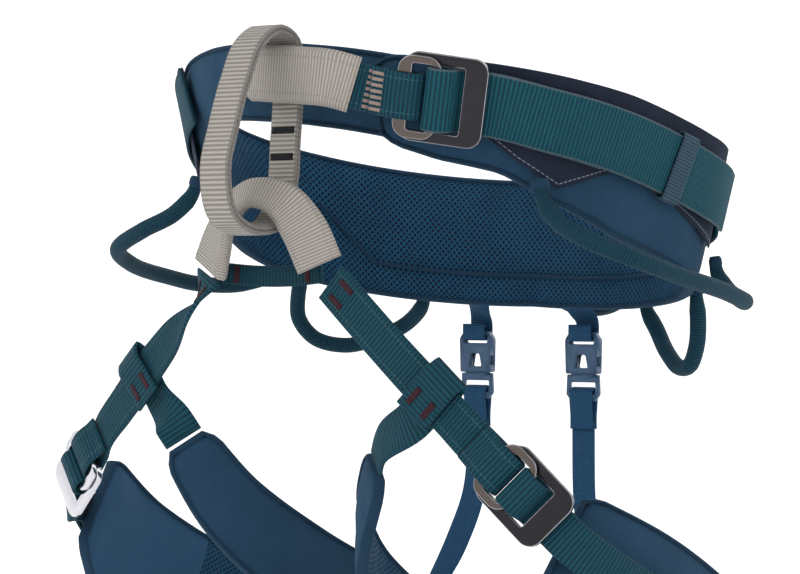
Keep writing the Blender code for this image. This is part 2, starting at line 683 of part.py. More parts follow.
def make_clip(side):
    top = CLIP_AT[side]
    place = Matrix.Translation(top)
    half = CLIP_WIDTH / 2
    depth = CLIP_DEPTH / 2
    housing = prism(f"clip_socket_{side}", [(-half + 3, 0), (half - 3, 0), (half, -4), (half - 0.5, -22),
                                            (-half + 0.5, -22), (-half, -4)], -depth, depth, place, PLASTIC, top)
    slot = SLOT_WIDTH / 2
    cut(housing, f"cut_tab_slot_{side}", rectangle(-slot, slot, -6.4, -2.4), -9, 9, place)
    cut(housing, f"cut_socket_{side}", rectangle(-7.6, 7.6, -30, -9), -1.7, 1.7, place)
    cut(housing, f"cut_window_{side}", [(-4, -19), (4, -19), (2.6, -12), (-2.6, -12)], -9, 9, place)
    for sign, name in ((-1, "right"), (1, "left")):
        cut(housing, f"cut_side_{name}_{side}", rectangle(*sorted((sign * 5.5, sign * 15)), -18, -13), -1.7, 1.7, place)
    buckle = prism(f"clip_plug_{side}", [(-half + 0.5, -22.5), (-7.1, -22.5), (-7.1, -10.2), (-5.2, -9.6), (-3.6, -11),
                                         (-3.6, -20.5), (3.6, -20.5), (3.6, -11), (5.2, -9.6), (7.1, -10.2),
                                         (7.1, -22.5), (half - 0.5, -22.5), (half, -33), (half - 3, -36.5),
                                         (-half + 3, -36.5), (-half, -33)], -1.3, 1.3, place, PLASTIC, top)
    cut(buckle, f"cut_strap_slot_{side}", rectangle(-slot, slot, -32.5, -26.5), -9, 9, place)
    return place


def clip_tab(side):
    """The short webbing that holds a clip to the belt: down its outside, round the clip's top bar and back up."""
    phi = CLIP_TAB_PHI[side]
    top = CLIP_AT[side]
    rows = [on_belt(phi, height * MM, SHELL_OUT + GAP + WEBBING) for height in (-25, -32, -39)]
    bar = [(3.9, 5), (3.9, -1.5), (3.5, -3.4), (2.2, -4.3), (0, -4.5), (-2.2, -4.3), (-3.5, -3.4), (-3.9, -1.5),
           (-3.9, 4)]
    faces = [(1, 0), (1, 0), (0.8, -0.6), (0.3, -1), (0, -1), (-0.3, -1), (-0.8, -0.6), (-1, 0), (-1, 0)]
    rows.extend((top.x, top.y + y * MM, top.z + z * MM, 0, *face) for (y, z), face in zip(bar, faces))
    webbing(f"clip_tab_{side}", rows, TAB_WIDTH, STRETCH, thick=1.2 * MM, step=3 * MM)


def make_elastic(side, leg_end):
    top = CLIP_AT[side]
    fold = [(2.0, -51), (2.0, -44), (2.7, -38), (2.6, -31.5), (0, -29.6), (-2.6, -31.5), (-2.7, -38), (-2.0, -44),
            (-2.0, -51)]
    faces = [(1, 0), (1, 0), (1, 0), (0.8, 0.6), (0, 1), (-0.8, 0.6), (-1, 0), (-1, 0), (-1, 0)]
    rows = [(top.x, top.y + y * MM, top.z + z * MM, 0, *face) for (y, z), face in zip(fold, faces)]
    webbing(f"elastic_end_{side}", rows, TAB_WIDTH, STRETCH, thick=ELASTIC, step=4 * MM, origin=top)
    line = pad_line(side)
    share, middle = leg_end
    rows = [(top.x, top.y, top.z + z * MM, 0, 1, 0) for z in (-47, -56)]
    rows.extend((*(Vector(point) * MM), 0, 1, 0.1) for point in middle)
    edge = line[round(share * (len(line) - 1))][3] / MM / 2
    rows.extend(pad_place(line, share, edge - drop, PAD_OUT / MM + 1.5) for drop in (0, 14, 30))
    webbing(f"elastic_strap_{side}", rows, TAB_WIDTH, STRETCH, thick=ELASTIC, step=8 * MM, origin=top)


def make_rear():
    for side, leg_end in (("right", (0.55, [(-48, 86, -172), (-60, 88, -198)])),
                          ("left", (0.48, [(26, 82, -180), (34, 78, -208)]))):
        make_clip(side)
        clip_tab(side)
        make_elastic(side, leg_end)


# ---- Keeper on the waist

KEEPER_PHI = 78
KEEPER_WIDTH = 12 * MM
KEEPER_THICK = 1.0 * MM


def tail_keeper():
    """The elastic band round the waist tail."""
    low = PATCH_OUT + GAP + KEEPER_THICK / 2
    high = TAIL_OUT + WEBBING / 2 + STRAP_GAP + KEEPER_THICK / 2
    deep = (high - low) / 2
    x, y, z, *face = on_belt(KEEPER_PHI, TAIL_HEIGHT, (low + high) / 2)
    middle = Vector((x, y, z))
    face = Vector(face)
    ahead = belt_point(KEEPER_PHI + 1, TAIL_HEIGHT, high) - belt_point(KEEPER_PHI - 1, TAIL_HEIGHT, high)
    up = face.cross(ahead.normalized())
    flat = TAIL_WIDTH / 2
    half = flat + 2 * STRAP_GAP + GAP
    bend = deep * 0.4
    rows = []
    for across, out, up_share, out_share in ((-flat, -deep, 0, -1), (0, -deep, 0, -1), (flat, -deep, 0, -1),
                                             (half, -bend, 1, 0), (half, bend, 1, 0), (flat, deep, 0, 1),
                                             (0, deep, 0, 1), (-flat, deep, 0, 1), (-half, bend, -1, 0),
                                             (-half, -bend, -1, 0)):
        rows.append((*(middle + up * across + face * out), *(up * up_share + face * out_share)))
    webbing("tail_keeper", rows, KEEPER_WIDTH, STRETCH, thick=KEEPER_THICK, step=NO_EXTRA, closed=True)


def clear_scene():
    for existing in list(bpy.data.objects):
        bpy.data.objects.remove(existing)


clear_scene()
make_belt()
make_waist_straps()
make_gear_loops()
make_tie_in()
make_leg("right")
make_leg("left")
make_rear()
tail_keeper()
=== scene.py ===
"""The looks of the climbing harness: quilted pads, ribbed webbing, buckles, clips and sewn detail.

Lengths in lists are in mm and the rest in metres. -Y is the wearer's front and +X the wearer's left.
"""
import json
import math

import bmesh
import bpy
import numpy as np
from mathutils import Matrix, Vector

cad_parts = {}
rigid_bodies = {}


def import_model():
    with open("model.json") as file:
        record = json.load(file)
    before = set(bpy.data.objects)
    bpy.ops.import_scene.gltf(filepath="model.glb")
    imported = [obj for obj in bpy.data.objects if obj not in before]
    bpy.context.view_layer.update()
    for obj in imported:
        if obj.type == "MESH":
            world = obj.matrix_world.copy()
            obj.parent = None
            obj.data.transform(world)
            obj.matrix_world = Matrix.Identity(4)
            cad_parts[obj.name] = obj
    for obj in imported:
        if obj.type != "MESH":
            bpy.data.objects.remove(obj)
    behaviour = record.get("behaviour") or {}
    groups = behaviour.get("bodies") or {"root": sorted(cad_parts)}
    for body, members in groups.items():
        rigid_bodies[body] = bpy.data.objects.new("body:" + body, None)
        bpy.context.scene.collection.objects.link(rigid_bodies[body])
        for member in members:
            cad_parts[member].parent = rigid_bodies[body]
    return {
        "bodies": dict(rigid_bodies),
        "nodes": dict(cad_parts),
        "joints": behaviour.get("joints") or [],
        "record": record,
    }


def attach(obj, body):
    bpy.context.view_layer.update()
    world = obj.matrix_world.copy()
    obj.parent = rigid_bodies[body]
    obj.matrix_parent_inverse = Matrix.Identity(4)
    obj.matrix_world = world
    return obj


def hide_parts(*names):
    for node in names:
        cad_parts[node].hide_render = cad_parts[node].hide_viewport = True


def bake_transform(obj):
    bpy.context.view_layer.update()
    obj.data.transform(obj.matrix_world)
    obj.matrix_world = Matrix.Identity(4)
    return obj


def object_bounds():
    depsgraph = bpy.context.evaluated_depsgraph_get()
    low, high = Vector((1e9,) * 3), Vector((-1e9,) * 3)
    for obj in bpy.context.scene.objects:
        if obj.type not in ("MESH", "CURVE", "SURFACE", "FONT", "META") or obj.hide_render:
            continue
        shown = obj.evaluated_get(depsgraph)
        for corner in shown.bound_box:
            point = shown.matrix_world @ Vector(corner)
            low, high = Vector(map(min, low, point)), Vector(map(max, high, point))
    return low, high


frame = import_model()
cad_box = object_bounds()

MM = 0.001

# ---- Camera, light and floor

CAMERA_PLACE = (0.8935, -1.3276, -0.0597)
CAMERA_TURN = 35
CAMERA_LENS = 141.1


def make_camera():
    camera = bpy.data.objects.new("camera", bpy.data.cameras.new("camera"))
    camera.data.lens = CAMERA_LENS
    camera.data.sensor_width = 36
    camera.location = CAMERA_PLACE
    camera.rotation_euler = (math.radians(90), 0, math.radians(CAMERA_TURN))
    bpy.context.scene.collection.objects.link(camera)
    bpy.context.scene.camera = camera


def area_light(name, place, target, size, power):
    light = bpy.data.objects.new(name, bpy.data.lights.new(name, "AREA"))
    light.data.size = size
    light.data.energy = power
    light.location = place
    light.rotation_euler = (Vector(target) - Vector(place)).to_track_quat("-Z", "Y").to_euler()
    bpy.context.scene.collection.objects.link(light)


FLOOR_DROP = 0.035  # below the lowest pad
FLOOR_REACH = 14.0
FLOOR_BEND = 3.0
FLOOR_SIDES = 96
WALL_TOP = 12.0


def make_studio():
    """A pale floor that curves up into a wall all round, and soft light."""
    low = cad_box[0][2] - FLOOR_DROP
    profile = [(0.001, low), (FLOOR_REACH, low)]
    for k in range(1, 13):
        angle = math.pi / 2 * k / 12
        profile.append((FLOOR_REACH + FLOOR_BEND * math.sin(angle), low + FLOOR_BEND * (1 - math.cos(angle))))
    profile.append((FLOOR_REACH + FLOOR_BEND, WALL_TOP))
    bm = bmesh.new()
    rings = []
    for radius, height in profile:
        rings.append([bm.verts.new((radius * math.cos(t), radius * math.sin(t), height))
                      for t in np.linspace(0, math.tau, FLOOR_SIDES, endpoint=False)])
    for inner, outer in zip(rings, rings[1:]):
        for k in range(FLOOR_SIDES):
            bm.faces.new((inner[k - 1], inner[k], outer[k], outer[k - 1]))
    mesh = bpy.data.meshes.new("studio_floor")
    bm.to_mesh(mesh)
    bm.free()
    mesh.shade_smooth()
    floor = bpy.data.objects.new("studio_floor", mesh)
    bpy.context.scene.collection.objects.link(floor)
    pale = bpy.data.materials.new("studio_white")
    pale.use_nodes = True
    shader = pale.node_tree.nodes["Principled BSDF"]
    shader.inputs["Base Color"].default_value = (0.93, 0.93, 0.93, 1)
    shader.inputs["Roughness"].default_value = 0.9
    shader.inputs["Emission Color"].default_value = (1, 1, 1, 1)
    shader.inputs["Emission Strength"].default_value = 0.35
    mesh.materials.append(pale)
    world = bpy.data.worlds.new("studio")
    world.use_nodes = True
    world.node_tree.nodes["Background"].inputs["Color"].default_value = (1, 1, 1, 1)
    world.node_tree.nodes["Background"].inputs["Strength"].default_value = 0.6
    bpy.context.scene.world = world
    middle = (0, 0, -0.1)
    area_light("key", (-0.6, -1.9, 1.7), middle, 1.8, 26)
    area_light("side", (2.2, -0.4, 1.1), middle, 2.2, 14)
    area_light("back", (-0.3, 2.2, 1.5), middle, 2.2, 18)
    bpy.context.scene.view_settings.view_transform = "Standard"


make_camera()
make_studio()

# ---- Material helpers


def node(tree, kind, *inputs, **settings):
    """A shader node; its inputs are given in order, as numbers, colours or other nodes' outputs."""
    made = tree.nodes.new(kind)
    for key, value in settings.items():
        setattr(made, key, value)
    for socket, value in zip(made.inputs, inputs):
        if isinstance(value, bpy.types.NodeSocket):
            tree.links.new(value, socket)
        elif value is not None:
            socket.default_value = value
    return made


def maths(tree, operation, a, b=0.0, c=None):
    return node(tree, "ShaderNodeMath", a, b, c, operation=operation).outputs[0]


def mix(tree, share, a, b):
    made = tree.nodes.new("ShaderNodeMix")
    made.data_type = "RGBA"
    for index, value in ((0, share), (6, a), (7, b)):
        if isinstance(value, bpy.types.NodeSocket):
            tree.links.new(value, made.inputs[index])
        else:
            made.inputs[index].default_value = value if index == 0 else (*value, 1)
    return made.outputs[2]


def start_material(name, roughness, metallic=0.0, sheen=0.0, specular=0.5):
    made = bpy.data.materials.new(name)
    made.use_nodes = True
    tree = made.node_tree
    shader = tree.nodes["Principled BSDF"]
    shader.inputs["Roughness"].default_value = roughness
    shader.inputs["Metallic"].default_value = metallic
    shader.inputs["Sheen Weight"].default_value = sheen
    shader.inputs["Sheen Tint"].default_value = (0.35, 0.6, 0.8, 1)
    shader.inputs["Specular IOR Level"].default_value = specular
    return made, tree, shader


def surface_coordinates(tree):
    """Metres along and across a piece, which its mesh carries."""
    where = node(tree, "ShaderNodeSeparateXYZ", node(tree, "ShaderNodeUVMap", uv_map="Along").outputs[0])
    return where.outputs[0], where.outputs[1]


def wave(tree, distance, pitch, phase=0.0):
    """A wave from 0 to 1 with one crest in each pitch."""
    turn = maths(tree, "MULTIPLY_ADD", distance, math.tau / pitch, phase)
    return maths(tree, "MULTIPLY_ADD", maths(tree, "SINE", turn), 0.5, 0.5)


def cloudy(tree, scale, detail=3.0):
    """Slow noise from 0 to 1 in the object's own space."""
    place = node(tree, "ShaderNodeTexCoord").outputs["Object"]
    noise = tree.nodes.new("ShaderNodeTexNoise")
    tree.links.new(place, noise.inputs["Vector"])
    noise.inputs["Scale"].default_value = scale
    noise.inputs["Detail"].default_value = detail
    return noise.outputs[0]


def bumped(tree, shader, height, distance, strength=1.0):
    bump = tree.nodes.new("ShaderNodeBump")
    bump.inputs["Distance"].default_value = distance
    bump.inputs["Strength"].default_value = strength
    tree.links.new(height, bump.inputs["Height"])
    tree.links.new(bump.outputs[0], shader.inputs["Normal"])


def dashes(tree, along, across, at, pitch=2.4 * MM, thread=0.45 * MM, filled=0.66):
    """1 on a row of stitches that runs along a piece at a distance across it."""
    off = maths(tree, "ABSOLUTE", maths(tree, "SUBTRACT", across, at))
    on_line = maths(tree, "LESS_THAN", off, thread / 2)
    step = maths(tree, "FRACT", maths(tree, "MULTIPLY", along, 1 / pitch))
    on_dash = maths(tree, "LESS_THAN", step, filled)
    return maths(tree, "MULTIPLY", on_line, on_dash)


def webbing_material(name, crest, valley, rib=2.0 * MM, twill=0.75 * MM, stitches=(),
                     thread=(0.03, 0.085, 0.10), depth=0.35 * MM, edge=None, half=None):
    """Ribbed webbing: ribs across it, their crests lighter and valleys darker as painted highlight and
    painted shade, a finer weave in them, and rows of stitches along it.
    """
    made, tree, shader = start_material(name, 0.72, sheen=0.04, specular=0.15)
    along, across = surface_coordinates(tree)
    ribs = wave(tree, along, rib)
    fine = wave(tree, maths(tree, "MULTIPLY_ADD", along, 0.6, across), twill)
    worn = cloudy(tree, 90)
    height = maths(tree, "MULTIPLY_ADD", fine, 0.25, ribs)
    # Crests take the lit colour and valleys the dark one: a painted highlight on the rib crests and painted
    # shade in their valleys
    lit = maths(tree, "MULTIPLY_ADD", fine, 0.25, maths(tree, "MULTIPLY", ribs, 0.75))
    colour = mix(tree, lit, valley, crest)
    colour = mix(tree, maths(tree, "MULTIPLY", worn, 0.35), colour, tuple(c * 0.55 for c in crest))
    if edge:
        rim = maths(tree, "GREATER_THAN", maths(tree, "ABSOLUTE", across), half - 1.0 * MM)
        colour = mix(tree, maths(tree, "MULTIPLY", rim, 0.8), colour, edge)
    for at in stitches:
        mask = dashes(tree, along, across, at)
        colour = mix(tree, mask, colour, thread)
        height = maths(tree, "MAXIMUM", height, maths(tree, "MULTIPLY", mask, 1.6))
    tree.links.new(colour, shader.inputs["Base Color"])
    bumped(tree, shader, height, depth)
    return made


def cloth_material(name, base, dark, weave=0.7 * MM, seams=(), thread=(0.30, 0.36, 0.42)):
    """Plain woven cloth with a fine grain, slow colour changes and rows of stitches."""
    made, tree, shader = start_material(name, 0.85, sheen=0.06, specular=0.1)
    along, across = surface_coordinates(tree)
    warp = wave(tree, along, weave)
    weft = wave(tree, across, weave)
    grain = maths(tree, "MULTIPLY", warp, weft)
    slow = cloudy(tree, 35)
    speck = cloudy(tree, 900, 2.0)
    clouds = maths(tree, "MULTIPLY_ADD", slow, 0.6, maths(tree, "MULTIPLY", speck, 0.5))
    share = maths(tree, "MULTIPLY_ADD", grain, 0.3, clouds)
    colour = mix(tree, share, dark, base)
    height = maths(tree, "MULTIPLY_ADD", speck, 0.5, grain)
    for at in seams:
        mask = dashes(tree, along, across, at)
        colour = mix(tree, mask, colour, thread)
        height = maths(tree, "MAXIMUM", height, maths(tree, "MULTIPLY", mask, 1.8))
    tree.links.new(colour, shader.inputs["Base Color"])
    bumped(tree, shader, height, 0.15 * MM)
    return made


def mesh_material(name, base, dark, pitch=3.2 * MM, hole=0.62 * MM):
    """Perforated knit: staggered rows of small holes painted near black as shade inside them, each with a
    soft rim.
    """
    made, tree, shader = start_material(name, 0.85, sheen=0.05, specular=0.1)
    along, across = surface_coordinates(tree)
    holes = None
    for shift in (0.0, 0.5):
        parts = []
        for distance, stretch in ((along, 1.0), (across, 0.9)):
            cell = maths(tree, "FRACT", maths(tree, "MULTIPLY_ADD", distance, stretch / pitch, 100 + shift))
            off = maths(tree, "ABSOLUTE", maths(tree, "SUBTRACT", cell, 0.5))
            parts.append(maths(tree, "POWER", off, 2.0))
        gap = maths(tree, "SQRT", maths(tree, "ADD", *parts))
        holes = gap if holes is None else maths(tree, "MINIMUM", holes, gap)
    radius = hole / pitch
    depth = node(tree, "ShaderNodeMapRange", holes, radius * 0.7, radius * 1.5, 0.0, 1.0).outputs[0]
    knit = maths(tree, "MULTIPLY", wave(tree, along, 0.8 * MM), wave(tree, across, 0.8 * MM))
    slow = cloudy(tree, 40)
    cloth = mix(tree, maths(tree, "MULTIPLY_ADD", knit, 0.3, maths(tree, "MULTIPLY", slow, 0.9)), dark, base)
    # The holes take a near-black colour: painted shade inside them
    colour = mix(tree, depth, (0.002, 0.005, 0.014), cloth)
    tree.links.new(colour, shader.inputs["Base Color"])
    bumped(tree, shader, maths(tree, "MULTIPLY_ADD", knit, 0.12, depth), 0.5 * MM)
    return made


def metal_material(name, base, roughness, metallic=1.0, specular=0.5):
    """Polished, anodised or painted metal with faint handling marks."""
    made, tree, shader = start_material(name, roughness, metallic, specular=specular)
    marks = cloudy(tree, 260, 6.0)
    colour = mix(tree, marks, tuple(c * 0.8 for c in base), base)
    tree.links.new(colour, shader.inputs["Base Color"])
    tree.links.new(maths(tree, "MULTIPLY_ADD", marks, 0.2, roughness - 0.1), shader.inputs["Roughness"])
    bumped(tree, shader, marks, 0.03 * MM, 0.4)
    return made


def plastic_material(name, base):
    made, tree, shader = start_material(name, 0.42)
    grain = cloudy(tree, 1400, 2.0)
    slow = cloudy(tree, 60)
    colour = mix(tree, slow, tuple(c * 0.75 for c in base), tuple(c * 1.2 for c in base))
    tree.links.new(colour, shader.inputs["Base Color"])
    bumped(tree, shader, grain, 0.06 * MM, 0.5)
    return made


THREAD_PITCH = 0.9 * MM
# Teal webbing: the crest colour carries a painted highlight, the valley colour painted shade
TEAL_CREST_LIT = (0.004, 0.062, 0.090)
TEAL_VALLEY_SHADE = (0.001, 0.009, 0.018)
MATERIALS = {
    "riser": webbing_material("riser_webbing", TEAL_CREST_LIT, TEAL_VALLEY_SHADE, stitches=(-6.6 * MM, 6.6 * MM),
                              depth=0.45 * MM),
    "leg": webbing_material("leg_strap_webbing", TEAL_CREST_LIT, TEAL_VALLEY_SHADE),
    "keeper": webbing_material("keeper_webbing", TEAL_CREST_LIT, TEAL_VALLEY_SHADE, rib=2.2 * MM, depth=0.45 * MM),
    "tail": webbing_material("waist_tail_webbing", (0.004, 0.080, 0.108), TEAL_VALLEY_SHADE,
                             edge=(0.06, 0.085, 0.10), half=15 * MM),
    "waist": webbing_material("waist_run_webbing", TEAL_CREST_LIT, TEAL_VALLEY_SHADE, stitches=(-11 * MM, 11 * MM)),
    "tie_in": webbing_material("tie_in_webbing", TEAL_CREST_LIT, TEAL_VALLEY_SHADE, stitches=(-8 * MM, 8 * MM)),
    "bridge": webbing_material("bridge_webbing", (0.003, 0.045, 0.068), TEAL_VALLEY_SHADE),
    "cord": webbing_material("gear_loop_sheath", (0.003, 0.046, 0.075), (0.001, 0.010, 0.020), rib=1.3 * MM,
                             twill=1.6 * MM, depth=0.35 * MM),
    "elastic": webbing_material("elastic_tape", (0.015, 0.075, 0.160), (0.006, 0.030, 0.070), rib=1.1 * MM,
                                twill=1.2 * MM, stitches=(0.0,), thread=(0.01, 0.03, 0.07), depth=0.2 * MM),
    "tail_keeper": webbing_material("keeper_elastic", (0.040, 0.080, 0.110), (0.010, 0.022, 0.045),
                                    rib=1.6 * MM, twill=1.8 * MM, depth=0.4 * MM),
    "sleeve": webbing_material("sleeve_cloth", (0.42, 0.388, 0.352), (0.15, 0.138, 0.125), rib=1.5 * MM,
                               twill=1.0 * MM, stitches=(-8.8 * MM, 8.8 * MM), thread=(0.20, 0.19, 0.18),
                               depth=0.25 * MM),
    "belay": webbing_material("belay_webbing", (0.43, 0.40, 0.36), (0.12, 0.11, 0.10), rib=2.2 * MM,
                              twill=0.9 * MM, edge=(0.16, 0.15, 0.14), half=8.25 * MM, depth=0.4 * MM),
    "denim": cloth_material("belt_cloth", (0.017, 0.052, 0.098), (0.008, 0.024, 0.048)),
    "binding": cloth_material("edge_binding", (0.012, 0.038, 0.072), (0.006, 0.018, 0.036)),
    "panel": cloth_material("plain_panel", (0.024, 0.076, 0.145), (0.012, 0.042, 0.086)),
    "navy": cloth_material("hip_cloth", (0.015, 0.019, 0.036), (0.007, 0.009, 0.017), seams=(2.2 * MM,),
                           thread=(0.20, 0.22, 0.28)),
    "mesh": mesh_material("lining_knit", (0.012, 0.066, 0.130), (0.005, 0.028, 0.060)),
    "thread": webbing_material("dark_red_thread", (0.060, 0.012, 0.018), (0.014, 0.004, 0.008), THREAD_PITCH),
    "beige_thread": webbing_material("pale_thread", (0.45, 0.33, 0.28), (0.16, 0.12, 0.12), THREAD_PITCH),
    "black_thread": webbing_material("black_thread", (0.012, 0.012, 0.014), (0.004, 0.004, 0.004),
                                     THREAD_PITCH),
    "black": metal_material("black_metal_gloss", (0.004, 0.004, 0.008), 0.2, metallic=0.0, specular=0.3),
    "bronze": metal_material("grey_metal_satin", (0.105, 0.088, 0.080), 0.3),
    "silver": metal_material("polished_metal", (0.62, 0.62, 0.66), 0.15),
    # A lighter metal for the outward bevels of the black buckles: a painted edge highlight
    "edge_highlight": metal_material("painted_edge_highlight", (0.34, 0.34, 0.37), 0.25),
    "plastic": plastic_material("clip_plastic", (0.020, 0.065, 0.135)),
}

# ---- The harness's lines, the same as those of the CAD

GAP = 0.4 * MM  # between faces that touch on a real harness
NO_EXTRA = 1.0  # a step longer than any strap: its own rows are enough

# Waist opening: half ellipses that meet at the hips, tilted so that the front is higher
WAIST_SIDE = 134 * MM
WAIST_FRONT = 116 * MM
WAIST_BACK = 75 * MM
WAIST_SLOPE = 0.364
WAIST_ROLL = 0.03  # the right hip hangs a little higher
WALL_LEAN = 0.20  # the belt's lower edge lies closer to the body than its upper edge

# The belt's edges: degrees round the waist (0 front, 90 left hip), upper and lower edge in mm above its line.
# The two ends overlap in front, so the right section runs on past 360.
BELT_EDGES = [
    (16, 10, -31),
    (27, 12, -36),
    (39, 13.5, -37),
    (50, 15, -45),
    (65, 17, -51),
    (85, 18, -49),
    (120, 20, -48),
    (180, 24, -43),
    (240, 23, -48),
    (275, 22, -50),
    (298, 23, -46),
    (306, 23, -35),
    (315, 22, -17),
    (330, 20, -16),
    (345, 17, -21),
    (360, 14, -25),
    (378, 11, -29),
    (396, 9, -28),
]
OVERLAP_LIFT = 12 * MM  # of the left section's end over the right one's
LIFT_FULL_UNTIL = 45
LIFT_GONE_AT = 82
LINING = 2.2 * MM
FOAM = 5.0 * MM
SHELL = 2.0 * MM
PATCH = 1.0 * MM
SHELL_OUT = LINING + FOAM + SHELL + 2 * GAP
PATCH_OUT = SHELL_OUT + GAP + PATCH

# Webbing, each with its width
WEBBING = 1.8 * MM
TAIL_WIDTH = 30 * MM
STRAP_WIDTH = 22 * MM
LEG_WIDTH = 20 * MM
TAB_WIDTH = 14 * MM
ELASTIC = 1.4 * MM
STRAP_GAP = 0.7 * MM  # between a strap and the curved belt or the strap under it
UNDER_RUN_OUT = PATCH_OUT + STRAP_GAP + WEBBING / 2
TAIL_OUT = UNDER_RUN_OUT + WEBBING + 1.3 * STRAP_GAP
TAIL_HEIGHT = -8 * MM

# Double-plate buckles, in mm from the fixed bar: along the webbing and out from the frame's middle
FRAME_THICK = 3.0
RING_THICK = 2.5
FIXED_BAR = (-3.0, 1.5)
RING_BAR = (11.5, 15.5)
WIDE_BAR = (26.0, 37.0)
RING_LIFT = FRAME_THICK / 2 + 0.5 + RING_THICK / 2
ANCHOR_FOLD = [(-17, 1.9), (-12, 3.2), (-8, 5.2), (-4.5, 6.1), (-1, 6.1), (3.5, 5.4), (7.0, 1.5), (3.5, -2.7),
               (-2, -2.9), (-9, -2.4), (-17, -0.6)]
THREADED = [(38, -5.3), (28, -5.3), (16, -5.3), (10.4, -4.2), (9.3, 0.8), (9.7, 4.6), (11.2, 6.1),
            (13.5, 6.5), (16.2, 6.2), (19.5, 4.6), (21.3, 1.5), (22.6, -1.5), (25.5, -3.0), (32, -3.0),
            (38, -3.0)]
BUCKLE_OUT = UNDER_RUN_OUT + 5.3 * MM

# Tie-in points and belay loop: places in mm, then the way the webbing faces, and its width where that changes
TIE_IN = [(30, -152, 37.5, 0, -1, 0), (12, -153.5, 39.5, 0, -1, 0), (-5, -153, 41, 0, -1, 0),
          (-18, -149, 42, 0, -1, 0), (-30, -142, 42.5, 0, -1, 0), (-40, -133, 42.5, 0, -1, 0),
          (-51, -124, 42, 0, -1, 0)]
SLEEVE_FROM = -17 * MM
SLEEVE_TO = 41 * MM
ARCH = [(-37, -156, -51, -0.3, -0.95, 0, 20), (-31, -158.5, -39, -0.35, -0.93, 0.1, 19),
        (-21, -162.5, -25, -0.35, -0.88, 0.35, 15), (-4, -165.5, -15.5, -0.05, -0.83, 0.55, 12),
        (12, -164.5, -19.5, 0.25, -0.88, 0.4, 14), (21.5, -161, -32, 0.3, -0.95, 0.2, 17),
        (28, -156.5, -49.5, 0.1, -0.99, 0, 20)]
BELAY_WIDTH = 16.5 * MM
BELAY_THICK = 4.5 * MM
BELAY_LINE = [(-158, 61), (-173, 54), (-184, 36), (-193, 14), (-199, -6), (-194, -26), (-176, -33.5),
              (-157, -29), (-148, -11), (-146, 8), (-144, 26), (-142.5, 43), (-146, 56)]
SLEEVE_THICK = 5.6 * MM
SLEEVE_CLEAR = 0.9 * MM  # between a sleeve and the strap in it

# Leg loops: each pad's middle line from the groin round the thigh to the buckle, and its width there
THIGH_AXIS = Vector((0, 0.5, 0.87)).normalized()
RIGHT_THIGH = Vector((-0.102, -0.035, -0.205))
RIGHT_PAD = [
    (-68, -136, -135, 27),
    (-56, -116, -168, 36),
    (-42, -80, -200, 46),
    (-31, -30, -230, 56),
    (-42, 22, -252, 68),
    (-78, 53, -264, 80),
    (-126, 48, -260, 86),
    (-162, 8, -240, 83),
    (-173, -42, -207, 74),
    (-167, -80, -170, 60),
]
LEFT_THIGH = Vector((0.092, -0.028, -0.215))
LEFT_PAD = [
    (52, -138, -144, 28),
    (36, -125, -174, 38),
    (24, -99, -206, 46),
    (18, -52, -238, 56),
    (32, 2, -260, 68),
    (68, 38, -274, 80),
    (115, 40, -273, 86),
    (153, 5, -258, 83),
    (167, -46, -234, 78),
    (160, -96, -203, 70),
    (140, -129, -177, 56),
]
PAD_LINING = 1.8 * MM
PAD_FOAM = 4.5 * MM
PAD_SHELL = 1.6 * MM
PAD_GAP = 0.7 * MM
PAD_OUT = PAD_LINING + PAD_FOAM + PAD_SHELL + 2 * PAD_GAP

# Risers from the lower tie-in to the leg buckles: point, then the way the webbing faces
RIGHT_RISER = [
    (-38, -156, -54.5, -0.3, -0.95, 0),
    (-45, -157, -68, -0.9, -0.45, 0.1),
    (-67, -151, -86, -0.25, -0.95, 0.15),
    (-91, -142, -104, 0.1, -0.97, 0.15),
    (-108, -137, -118.5, 0.05, -0.97, 0.2),
]
RIGHT_BUCKLE = ((-149, -122, -154), (-0.70, 0.30, -0.60), (-0.2, -0.95, 0.1))
LEFT_RISER = [
    (34.5, -156.5, -57.5, 0.05, -0.99, 0),
    (49, -158, -70, 0.05, -0.99, 0.05),
    (70, -157, -90, 0.05, -0.99, 0.05),
    (90, -155, -109, 0.08, -0.98, 0.1),
    (102, -155, -119.5, 0.12, -0.97, 0.1),
]
LEFT_BUCKLE = ((137, -150, -153), (0.70, 0.15, -0.70), (0.3, -0.95, 0.1))
# Where the adjusting webbing lies on each pad, as shares of its length: the free tail lies on the sewn run
WEBBING_ON_PAD = {"right": (0.79, 0.86, 0.93, 0.99), "left": (0.70, 0.76, 0.82, 0.88)}
SEWN_RUN_OUT = 2.2  # mm outside the pad
FREE_TAIL_OUT = 5.4
PAD_END_LIFT = 1.7  # mm more at the pad's end, where the webbing leaves it for the buckle

# Gear loops in belt terms: degrees, mm above the belt's line, mm outside the lining
GEAR_RADIUS = 4.2 * MM
FRONT_GEAR = [(46, -36, 14.2), (46.5, -44, 18), (48, -53, 28), (51.5, -60, 45), (58, -65, 59),
              (68, -67, 58), (80, -65, 52), (91, -62, 43), (100, -57, 33), (106, -49, 23.5),
              (108.5, -40, 17), (109, -32, 14.2)]
LEFT_REAR_GEAR = [(128, -38, 14.2), (128, -46, 16.5), (128, -57, 19.5), (129, -69, 22), (132, -78, 23),
                  (137, -78, 23), (143, -69, 22), (148, -56, 21), (150.5, -46, 17.5), (151, -38, 14.2)]
RIGHT_REAR_GEAR = [(243, -38, 14.2), (244.5, -46, 18), (245, -57, 26), (244, -69, 34), (240, -77, 37),
                   (232, -78, 36), (223, -70, 33), (215, -58, 27), (211, -47, 18.5), (210, -38, 14.2)]
HAUL_LOOP = [(162, -26, 26), (162, -34, 29), (166, -41, 31), (172, -43.5, 32), (178, -41, 31), (182, -34, 29),
             (182, -26, 26)]

# Rear clips, local mm: x across, y back, z up from the top edge
CLIP_AT = {"right": Vector((-0.043, 0.083, -0.0835)), "left": Vector((0.024, 0.083, -0.0835))}
CLIP_TAB_PHI = {"right": 196.5, "left": 171}

